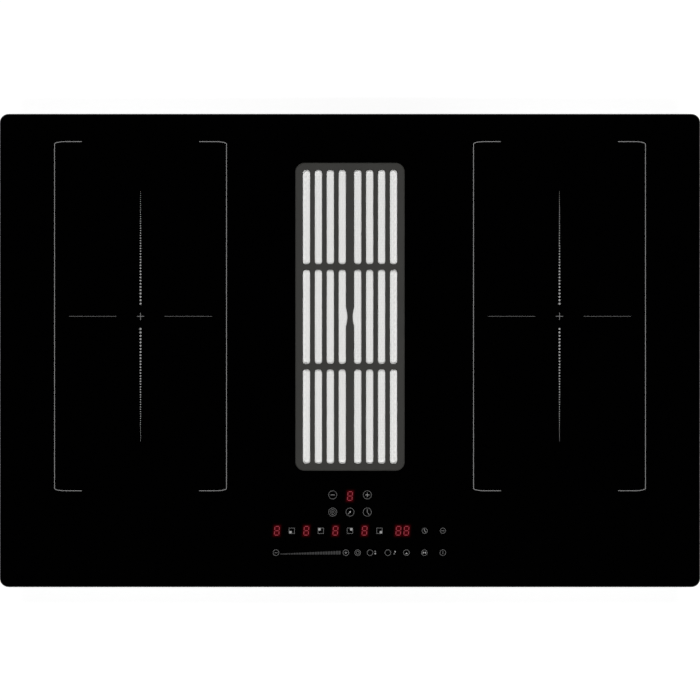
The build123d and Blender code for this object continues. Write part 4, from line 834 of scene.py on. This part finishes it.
def expanded_mesh(low, high):
    """Plate in a box, with rounded corners and diamonds sunk into both faces between two sets of strands.

    A strand is a squared cosine of across plus or minus along, both counted in diamonds."""
    xs = np.linspace(low.x, high.x, round((high.x - low.x) / MM / MESH_STEP) + 1)
    ys = np.linspace(low.y, high.y, round((high.y - low.y) / MM / MESH_STEP) + 1)
    corner = MESH_CORNER * MM
    end_gap = (high.y - low.y) / 2 - np.abs(ys - (low.y + high.y) / 2)
    into_corner = np.maximum(corner - end_gap, 0.0)
    pulled = corner - np.sqrt(np.maximum(corner**2 - into_corner**2, 0.0))
    xs = xs * (1 - pulled / high.x)[:, None]
    side_gap = (high.x - pulled)[:, None] - np.abs(xs)
    hem = (side_gap < SIDE_HEM * MM) | (end_gap[:, None] < END_HEM * MM)
    across = xs / MM / DIAMOND[1]
    along = (ys / MM / DIAMOND[0])[:, None]
    strands = [np.cos(math.pi * (across + sign * along)) ** 2 for sign in (1, -1)]
    sunk = np.where(hem, 0.0, DIAMOND_DEPTH * MM * (1 - np.maximum(*strands)))
    return slab(xs, ys, high.z - sunk, low.z + sunk)


class HOB_OT_casing(Operator):
    """Zinc-coated casing, frame and brackets, bright steel pieces and rubber"""

    bl_idname = "hob.casing"
    bl_label = "Casing"

    def execute(self, context):
        look = context.scene.hob_finish
        dress_slot("zinc_sheet", spangled_finish(look.zinc))
        dress_slot("bright_steel", satin_finish("bright_steel_finish", look.steel))
        dress_slot("rubber", moulded_finish("rubber_finish", look.rubber, rough=0.7, grain=500.0))
        return {"FINISHED"}


class HOB_OT_air_path(Operator):
    """Moulded duct, air box, scroll and fans"""

    bl_idname = "hob.air_path"
    bl_label = "Air path"

    def execute(self, context):
        look = context.scene.hob_finish
        dress_slot("duct_plastic", moulded_finish("duct_plastic_finish", look.duct))
        fans = moulded_finish("fan_plastic_finish", look.fan, rough=0.4, grain=1100.0, relief=0.05)
        dress_slot("fan_plastic", fans)
        return {"FINISHED"}


class HOB_OT_coils(Operator):
    """Windings, ferrite, mica sheets, carriers and plates"""

    bl_idname = "hob.coils"
    bl_label = "Coils"

    def execute(self, context):
        look = context.scene.hob_finish
        for name in nodes_of("copper"):
            low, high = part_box(name)
            dress(name, litz_finish(f"{name}_finish", look.copper, tuple((low + high) / 2)))
        ferrite = speckled_finish("ferrite_finish", look.ferrite, look.ferrite_fleck, scale=700.0, rough=0.6)
        dress_slot("ferrite", ferrite)
        dark, light = (scaled(look.mica, factor) for factor in (0.7, 1.2))
        dress_slot("mica", speckled_finish("mica_finish", dark, light, scale=420.0, rough=0.5))
        dress_slot("light_plastic", moulded_finish("light_plastic_finish", look.pale, rough=0.45))
        aluminium = brushed_finish("aluminium_finish", look.aluminium, stretch=(25.0, 800.0, 800.0))
        dress_slot("aluminium", aluminium)
        return {"FINISHED"}


class HOB_OT_boards(Operator):
    """Circuit boards, their components and the displays"""

    bl_idname = "hob.boards"
    bl_label = "Boards"

    def execute(self, context):
        look = context.scene.hob_finish
        dress_slot("board_green", board_finish(look.board))
        components = moulded_finish("component_finish", look.component, rough=0.4, grain=700.0, relief=0.04)
        dress_slot("component", components)
        dress_slot("display_red", lit_finish("display_finish", look.display_light, look.display_lens))
        return {"FINISHED"}


class HOB_OT_screws(Operator):
    """Screw steel, and pan-head screws with a cross recess in the place of each plain screw"""

    bl_idname = "hob.screws"
    bl_label = "Screws"

    def execute(self, context):
        metal = satin_finish("screw_steel_finish", context.scene.hob_finish.screw)
        dress_slot("screw_steel", metal)
        for name in nodes_of("screw_steel"):
            if not name.endswith("_screws"):
                continue
            solid = Solid()
            for head, axis, reach in screw_places(name):
                solid.add(*screw(head, axis, reach))
            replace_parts(solid.piece(f"cross_{name}", metal, "screw_steel"), name)
        return {"FINISHED"}


def screw_places(node):
    """Each screw's head top, outward axis and whole length, read from the corners of the plain screws."""
    mesh = frame["nodes"][node].data
    points = np.empty(len(mesh.vertices) * 3)
    mesh.vertices.foreach_get("co", points)
    points = points.reshape(-1, 3)
    found = []
    while len(points):
        near = np.linalg.norm(points - points[0], axis=1) < SCREW_SPAN * MM
        own, points = points[near], points[~near]
        low, high = own.min(0), own.max(0)
        size = high - low
        index = int(np.argmax(np.abs(size - np.median(size))))
        middle = (low + high) / 2
        flat = np.delete(own - middle, index, 1)
        wide = np.linalg.norm(flat, axis=1) > HEAD_SHARE * HEAD_RADIUS * MM
        side = 1.0 if own[wide, index].mean() > middle[index] else -1.0
        axis = np.zeros(3)
        axis[index] = side
        found.append((middle + axis * size[index] / 2, axis, size[index]))
    return found


def screw(head, axis, reach):
    """Pan-head screw on a grid of turn and row: a domed head, a cross recess and a shank.

    Each quarter turn holds one arm of the cross. Its columns lie at the arm's edges, at an angle of
    asin(half width / radius), and evenly between two arms."""
    radius = np.array([*INNER_ROWS, RECESS_REACH, RECESS_REACH + RECESS_LIP, *OUTER_ROWS, HEAD_RADIUS])
    edge = np.arcsin(RECESS_HALF / radius)
    inner = np.arcsin(RECESS_TAPER * RECESS_HALF / radius)
    free = math.pi / 2 - 2 * edge
    quarter = np.stack([-edge, -inner, inner, edge, edge + free / 3, edge + 2 * free / 3], -1)
    turn = (quarter[:, None] + np.arange(4)[:, None] * math.pi / 2).reshape(len(radius), -1)
    columns = turn.shape[1]
    dome = -HEAD_DOME * (radius / HEAD_RADIUS) ** 2
    height = np.repeat(dome[:, None], columns, 1)
    in_arm = np.tile([False, True, True, False, False, False], 4)
    height[: len(INNER_ROWS), in_arm] = -RECESS_DEPTH
    tip_height = TIP_GAP - reach / MM
    turn = np.concatenate([turn, np.tile(turn[-1], (3, 1))])
    radius = np.concatenate([radius, [HEAD_RADIUS, SHANK_RADIUS, SHANK_RADIUS]])
    lower = np.array([-HEAD_HEIGHT, -HEAD_HEIGHT, tip_height])
    height = np.concatenate([height, np.repeat(lower[:, None], columns, 1)])
    grid = np.stack([radius[:, None] * np.cos(turn), radius[:, None] * np.sin(turn), height], -1)
    poles = [(0.0, 0.0, -RECESS_DEPTH), (0.0, 0.0, tip_height)]
    local = np.concatenate([grid.reshape(-1, 3), poles]) * MM
    first = np.roll(axis, 1)
    second = np.cross(axis, first)
    points = head + local[:, :1] * first + local[:, 1:2] * second + local[:, 2:] * axis
    rows = len(radius)
    index = np.arange(rows * columns).reshape(rows, columns)
    after = np.roll(index, -1, 1)
    quads = np.stack([index[:-1], index[1:], after[1:], after[:-1]], -1).reshape(-1, 4)
    top = np.stack([np.full(columns, rows * columns), index[0], after[0]], -1)
    tip = np.stack([np.full(columns, rows * columns + 1), after[-1], index[-1]], -1)
    return points, [quads, top, tip]


def moved(strokes, x, y):
    """Strokes about the origin, carried to a point. Their widths stay."""
    return np.asarray(strokes, float) + (x, y, x, y, 0.0)


def dash(x, y, half, width):
    """One level stroke about a point."""
    return moved([(-half, 0.0, half, 0.0, width)], x, y)


def plus(x, y, half, width):
    """A level stroke about a point, and the two uprights that meet it."""
    uprights = [(0.0, width / 2, 0.0, half, width), (0.0, -half, 0.0, -width / 2, width)]
    return np.concatenate([dash(x, y, half, width), moved(uprights, x, y)])


class HOB_OT_zone_marks(Operator):
    """Brackets, dashes and a small cross for each cooking zone"""

    bl_idname = "hob.zone_marks"
    bl_label = "Zone marks"

    def execute(self, context):
        look = context.scene.hob_print
        ink = ink_finish("line_ink_finish", look.line_ink)
        brackets = Solid()
        marks = []
        turn = np.linspace(0.0, math.pi / 2, CORNER_STEPS)
        inward = np.concatenate([[STUB_REACH], CORNER_WIDE * (1 - np.sin(turn))])
        drop = np.concatenate([[0.0], CORNER_TALL * (1 - np.cos(turn))])
        thin = look.dash_line / MM
        for middle in ZONE_X:
            for side in (-1, 1):
                x = middle + side * (BRACKET_REACH - inward)
                upper = np.stack([x, BRACKET_TOP - drop], -1)
                lower = np.stack([x, BRACKET_BOTTOM + drop], -1)[::-1]
                brackets.add(*ribbon(np.concatenate([upper, lower]), look.bracket_line))
                marks.append(moved([(side * DASH_FROM, 0.0, side * DASH_TO, 0.0, thin)], middle, ZONE_Y))
            marks.append(plus(middle, ZONE_Y, CROSS_ARM, 2 * thin))
        bracket_ink = ink_finish("bracket_ink_finish", look.bracket_ink)
        brackets.piece("zone_brackets", bracket_ink, "black_glass")
        Solid().add(*prisms(bars(np.concatenate(marks)))).piece("zone_middles", ink, "black_glass")
        return {"FINISHED"}


class HOB_OT_level_dots(Operator):
    """Dotted lines that shrink away from each zone's middle"""

    bl_idname = "hob.level_dots"
    bl_label = "Level dots"

    def execute(self, context):
        look = context.scene.hob_print
        pitch = np.geomspace(*DOT_PITCH, DOT_COUNT - 1)
        away = DOT_FIRST + np.concatenate([[0.0], np.cumsum(pitch)])
        radius = np.linspace(look.dot_large, look.dot_small, DOT_COUNT) / MM / 2
        rows = [
            np.stack([np.full(DOT_COUNT, x), ZONE_Y + side * away, radius], -1)
            for x in ZONE_X
            for side in (-1, 1)
        ]
        ink = ink_finish("dot_ink_finish", look.dot_ink)
        Solid().add(*prisms(discs(np.concatenate(rows)))).piece("level_dots", ink, "black_glass")
        return {"FINISHED"}


class HOB_OT_key_symbols(Operator):
    """Rings and plain symbols of the touch keys"""

    bl_idname = "hob.key_symbols"
    bl_label = "Key symbols"

    def execute(self, context):
        look = context.scene.hob_print
        key, small = look.key_line / MM, look.small_line / MM
        rings = [(x, y, KEY_RADIUS, key) for y in (ROW_VENT, ROW_TIMER) for x in (-KEY_COLUMN, KEY_COLUMN)]
        rings += [(0.0, ROW_TIMER, KEY_RADIUS, key)]
        rings += [(-KEY_COLUMN, ROW_TIMER, radius, key) for radius in TARGET_RADII]
        rings += [(x, ROW_ZONES, SMALL_KEY_RADIUS, small) for x in (HANDS_KEY, DASH_KEY)]
        rings += [(x, ROW_LEVEL, LEVEL_KEY_RADIUS, small) for x in LEVEL_KEYS]
        rings += [(RINGS_KEY, ROW_LEVEL, INNER_RADIUS, small)]
        lines = Solid()
        for x, y, radius, width in rings:
            lines.add(*ribbon(circle(x, y, radius), width * MM, loop=True))
        square = SQUARE_HALF * np.array(UNIT_SQUARE)
        for x, _, _ in ZONE_SQUARES:
            lines.add(*ribbon(square + (x, ROW_ZONES), small * MM, loop=True))
        thin = [
            dash(-KEY_COLUMN, ROW_VENT, *VENT_MINUS),
            moved(HANDS, KEY_COLUMN, ROW_TIMER),
            moved(NEEDLE, 0.0, ROW_TIMER),
            moved(SMALL_HANDS, HANDS_KEY, ROW_ZONES),
            dash(DASH_KEY, ROW_ZONES, *ZONE_DASH),
            dash(MINUS_KEY, ROW_LEVEL, *LEVEL_MINUS),
            moved(UPRIGHT, BAR_KEY, ROW_LEVEL),
            moved(UPPER_DOT, DOTS_KEY, ROW_LEVEL),
            moved(LOWER_STEP, STEPS_KEY, ROW_LEVEL),
        ]
        lines.add(*prisms(bars(np.concatenate(thin))))
        lines.piece("key_lines", ink_finish("key_ink_finish", look.line_ink), "black_glass")
        bright = [
            plus(KEY_COLUMN, ROW_VENT, *VENT_PLUS),
            plus(PLUS_KEY, ROW_LEVEL, *LEVEL_PLUS),
            *(dash(x + dx, ROW_ZONES + dy, QUARTER_SIDE / 2, QUARTER_SIDE) for x, dx, dy in ZONE_SQUARES),
            moved(LOWER_DOT, DOTS_KEY, ROW_LEVEL),
            moved(UPPER_STEP, STEPS_KEY, ROW_LEVEL),
        ]
        hub = np.add(NEEDLE_HUB, (0.0, ROW_TIMER, 0.0))
        wedges = [
            np.add(PEAK, (PEAK_KEY, ROW_LEVEL)),
            np.add(BOW_LEFT, (BOW_KEY, ROW_LEVEL)),
            np.add(BOW_RIGHT, (BOW_KEY, ROW_LEVEL)),
        ]
        fills = Solid()
        for outlines in (bars(np.concatenate(bright)), discs([hub]), wedges):
            fills.add(*prisms(outlines))
        fills.piece("key_fills", ink_finish("fill_ink_finish", look.fill_ink), "black_glass")
        return {"FINISHED"}


class HOB_OT_level_slider(Operator):
    """Rising row of bars for the slider"""

    bl_idname = "hob.level_slider"
    bl_label = "Level slider"

    def execute(self, context):
        starts = np.arange(SLIDER_LEFT + SLIDER_SOLID, SLIDER_RIGHT - SLIDER_PITCH / 2, SLIDER_PITCH)
        left = np.concatenate([[SLIDER_LEFT], starts])
        right = np.concatenate([[SLIDER_LEFT + SLIDER_SOLID], starts + SLIDER_PITCH]) - SLIDER_GAP
        ends = (SLIDER_LEFT, SLIDER_RIGHT)
        low = np.full(len(left), SLIDER_FLOOR)
        corners = [
            (left, low),
            (right, low),
            (right, low + np.interp(right, ends, SLIDER_HEIGHT)),
            (left, low + np.interp(left, ends, SLIDER_HEIGHT)),
        ]
        outlines = np.stack([np.stack(corner, -1) for corner in corners], 1)
        ink = ink_finish("slider_ink_finish", context.scene.hob_print.slider_ink)
        Solid().add(*prisms(outlines)).piece("slider_bars", ink, "black_glass")
        return {"FINISHED"}


def digit_strokes(x, y):
    """The seven strokes of one digit, as rows of x0, y0, x1, y1, leaning by the slant times the height."""
    half, reach = DIGIT_WIDTH / 2, DIGIT_HEIGHT / 2
    gap = DIGIT_GAP + DIGIT_STROKE / 2
    level = [(-half + gap, h, half - gap, h) for h in (-reach, 0.0, reach)]
    upright = [(s * half, h + gap, s * half, h + reach - gap) for s in (-1, 1) for h in (-reach, 0.0)]
    rows = np.array(level + upright)
    rows[:, (0, 2)] += DIGIT_SLANT * rows[:, (1, 3)]
    return rows + (x, y, x, y)


def outside(points, places):
    """How far each point lies outside the nearest digit's leaning outline, and 0 inside it."""
    away = points[:, None] - places
    away[..., 0] -= DIGIT_SLANT * away[..., 1]
    reach = (np.array([DIGIT_WIDTH, DIGIT_HEIGHT]) + DIGIT_STROKE) / 2
    return np.linalg.norm(np.maximum(np.abs(away) - reach, 0.0), axis=-1).min(1)


class HOB_OT_digits(Operator):
    """Lit digits and the light that spreads round them in the glass"""

    bl_idname = "hob.digits"
    bl_label = "Digits"

    def execute(self, context):
        look = context.scene.hob_print
        strokes = np.concatenate([digit_strokes(x, y) for x, y in DIGIT_PLACES])
        widths = np.full((len(strokes), 1), DIGIT_STROKE)
        light = lit_finish("digit_light_finish", look.digit_light, look.digit_lens)
        outlines = bars(np.concatenate([strokes, widths], 1))
        Solid().add(*prisms(outlines)).piece("digit_strokes", light, "display_red")
        plates = Solid()
        spreads = []
        reach = np.array([DIGIT_WIDTH, DIGIT_HEIGHT]) / 2
        clusters = [[place] for place in DIGIT_PLACES[:-2]] + [DIGIT_PLACES[-2:]]
        for cluster in clusters:
            places = np.array(cluster)
            low = places.min(0) - reach - GLOW_MARGIN
            high = places.max(0) + reach + GLOW_MARGIN
            xs, ys = (np.arange(low[i], high[i], GLOW_STEP) for i in (0, 1))
            spot = np.stack(np.meshgrid(xs, ys), -1).reshape(-1, 2)
            glow = np.exp(-outside(spot, places) / GLOW_REACH)
            inset = np.minimum(spot - low, (xs[-1], ys[-1]) - spot).min(1)
            glow *= np.clip(inset / GLOW_FADE, 0.0, 1.0)
            spreads += [glow, glow]
            plates.add(*slab(xs * MM, ys * MM, GLOW_HIGH, PRINT_LOW))
        glass = glow_finish(context.scene.hob_finish.glass, look.digit_glow)
        plate = plates.piece("digit_glow", glass, "black_glass")
        layer = plate.data.attributes.new("glow", "FLOAT", "POINT")
        layer.data.foreach_set("value", np.concatenate(spreads))
        return {"FINISHED"}


class HOB_OT_stage(Operator):
    """Pale floor, two high lamps, a dome of light and the camera above"""

    bl_idname = "hob.stage"
    bl_label = "Stage"

    def execute(self, context):
        scene = context.scene
        look = scene.hob_stage
        scene.view_settings.view_transform = "Standard"
        corners = [(FLOOR_HALF * x, FLOOR_HALF * y, CAD_BOX[0][2]) for x, y in UNIT_SQUARE]
        mesh = bpy.data.meshes.new("floor")
        mesh.from_pydata(corners, [], [(0, 1, 2, 3)])
        mesh.materials.append(floor_finish(look.floor_tint, look.floor_light))
        floor = bpy.data.objects.new("floor", mesh)
        scene.collection.objects.link(floor)
        for side, name in ((-1, "lamp_front"), (1, "lamp_back")):
            lamp = bpy.data.lights.new(name, "AREA")
            lamp.shape = "RECTANGLE"
            lamp.size = LAMP_SIZE[0]
            lamp.size_y = LAMP_SIZE[1]
            lamp.energy = look.lamp_power
            holder = bpy.data.objects.new(name, lamp)
            holder.location = (0.0, side * LAMP_OUT, LAMP_HEIGHT)
            holder.rotation_euler = (-side * math.atan2(LAMP_OUT, LAMP_HEIGHT), 0.0, 0.0)
            scene.collection.objects.link(holder)
        dome(scene, look.dome)
        lens = bpy.data.cameras.new("hob_camera")
        lens.lens = look.lens
        lens.clip_end = CAMERA_FAR
        camera = bpy.data.objects.new("hob_camera", lens)
        camera.location = (0.0, look.camera_shift, look.camera_height)
        scene.collection.objects.link(camera)
        scene.camera = camera
        return {"FINISHED"}


def seen_share(wire):
    """1 for a ray that shows the stage to the camera, straight, mirrored or through glass, and else 0."""
    kinds = ("Is Camera Ray", "Is Glossy Ray", "Is Transmission Ray")
    straight, mirrored, through = (wire.node("ShaderNodeLightPath", out=kind) for kind in kinds)
    return wire.math("MINIMUM", straight + mirrored + through, 1.0)


def floor_finish(colour, light):
    """Pale floor: white with a faint shadow where it is seen, plain paint to other light.

    From below it is clear."""
    material, wire = begun("floor_finish")
    seen = seen_share(wire)
    sockets = {
        "Base Color": seen.mix(colour, scaled(colour, FLOOR_SHOWN)),
        "Roughness": 0.9,
        "Specular IOR Level": 0.0,
        "Emission Color": seen.mix(NO_LIGHT, (light, light, light)),
        "Emission Strength": 1.0,
    }
    upper = wire.node("ShaderNodeBsdfPrincipled", sockets=sockets)
    below = wire.node("ShaderNodeNewGeometry", out="Backfacing")
    clear = wire.node("ShaderNodeBsdfTransparent")
    shader = wire.node("ShaderNodeMixShader", sockets={0: below, 1: upper, 2: clear})
    wire.node("ShaderNodeOutputMaterial", sockets={"Surface": shader})
    return material


def dome(scene, strength):
    """Dome of light, as in a studio with a dark ceiling: white round the horizon and dark overhead.

    The camera itself sees a white backdrop all round."""
    world = bpy.data.worlds.new("dome")
    world.use_nodes = True
    world.node_tree.nodes.clear()
    wire = Wire(world.node_tree)
    height = wire.node("ShaderNodeTexCoord", out="Generated").axis(2)
    backdrop = wire.node("ShaderNodeLightPath", out="Is Camera Ray")
    level = (DOME_EDGE - height) * DOME_FADE + backdrop * BACKDROP_GAIN
    colour = wire.node("ShaderNodeClamp", sockets={0: level}).mix(NO_LIGHT, FULL_LIGHT)
    sky = wire.node("ShaderNodeBackground", sockets={"Color": colour, "Strength": strength})
    wire.node("ShaderNodeOutputWorld", sockets={"Surface": sky})
    scene.world = world


class HOB_PT_panel(Panel):
    """Sizes, colours and pieces of the hob's looks"""

    bl_idname = "HOB_PT_panel"
    bl_label = "Vented hob"
    bl_space_type = "VIEW_3D"
    bl_region_type = "UI"
    bl_category = "Hob"

    def draw(self, context):
        for group in (context.scene.hob_print, context.scene.hob_finish, context.scene.hob_stage):
            column = self.layout.box().column()
            for name in group.__annotations__:
                column.prop(group, name)
        for operator in OPERATORS:
            self.layout.operator(operator.bl_idname)


OPERATORS = (
    HOB_OT_glass,
    HOB_OT_grille,
    HOB_OT_filter,
    HOB_OT_casing,
    HOB_OT_air_path,
    HOB_OT_coils,
    HOB_OT_boards,
    HOB_OT_screws,
    HOB_OT_zone_marks,
    HOB_OT_level_dots,
    HOB_OT_key_symbols,
    HOB_OT_level_slider,
    HOB_OT_digits,
    HOB_OT_stage,
)
GROUPS = {"hob_print": HobPrint, "hob_finish": HobFinish, "hob_stage": HobStage}
CLASSES = (*GROUPS.values(), *OPERATORS, HOB_PT_panel)


def register():
    """Registers the classes and hangs the property groups on the scene."""
    for entry in CLASSES:
        bpy.utils.register_class(entry)
    for name, group in GROUPS.items():
        setattr(bpy.types.Scene, name, PointerProperty(type=group))


def unregister():
    """Undoes register."""
    for name in GROUPS:
        delattr(bpy.types.Scene, name)
    for entry in reversed(CLASSES):
        bpy.utils.unregister_class(entry)


def main():
    """Makes every piece in order."""
    register()
    for operator in OPERATORS:
        group, call = operator.bl_idname.split(".")
        getattr(getattr(bpy.ops, group), call)()


if __name__ == "__main__":
    main()
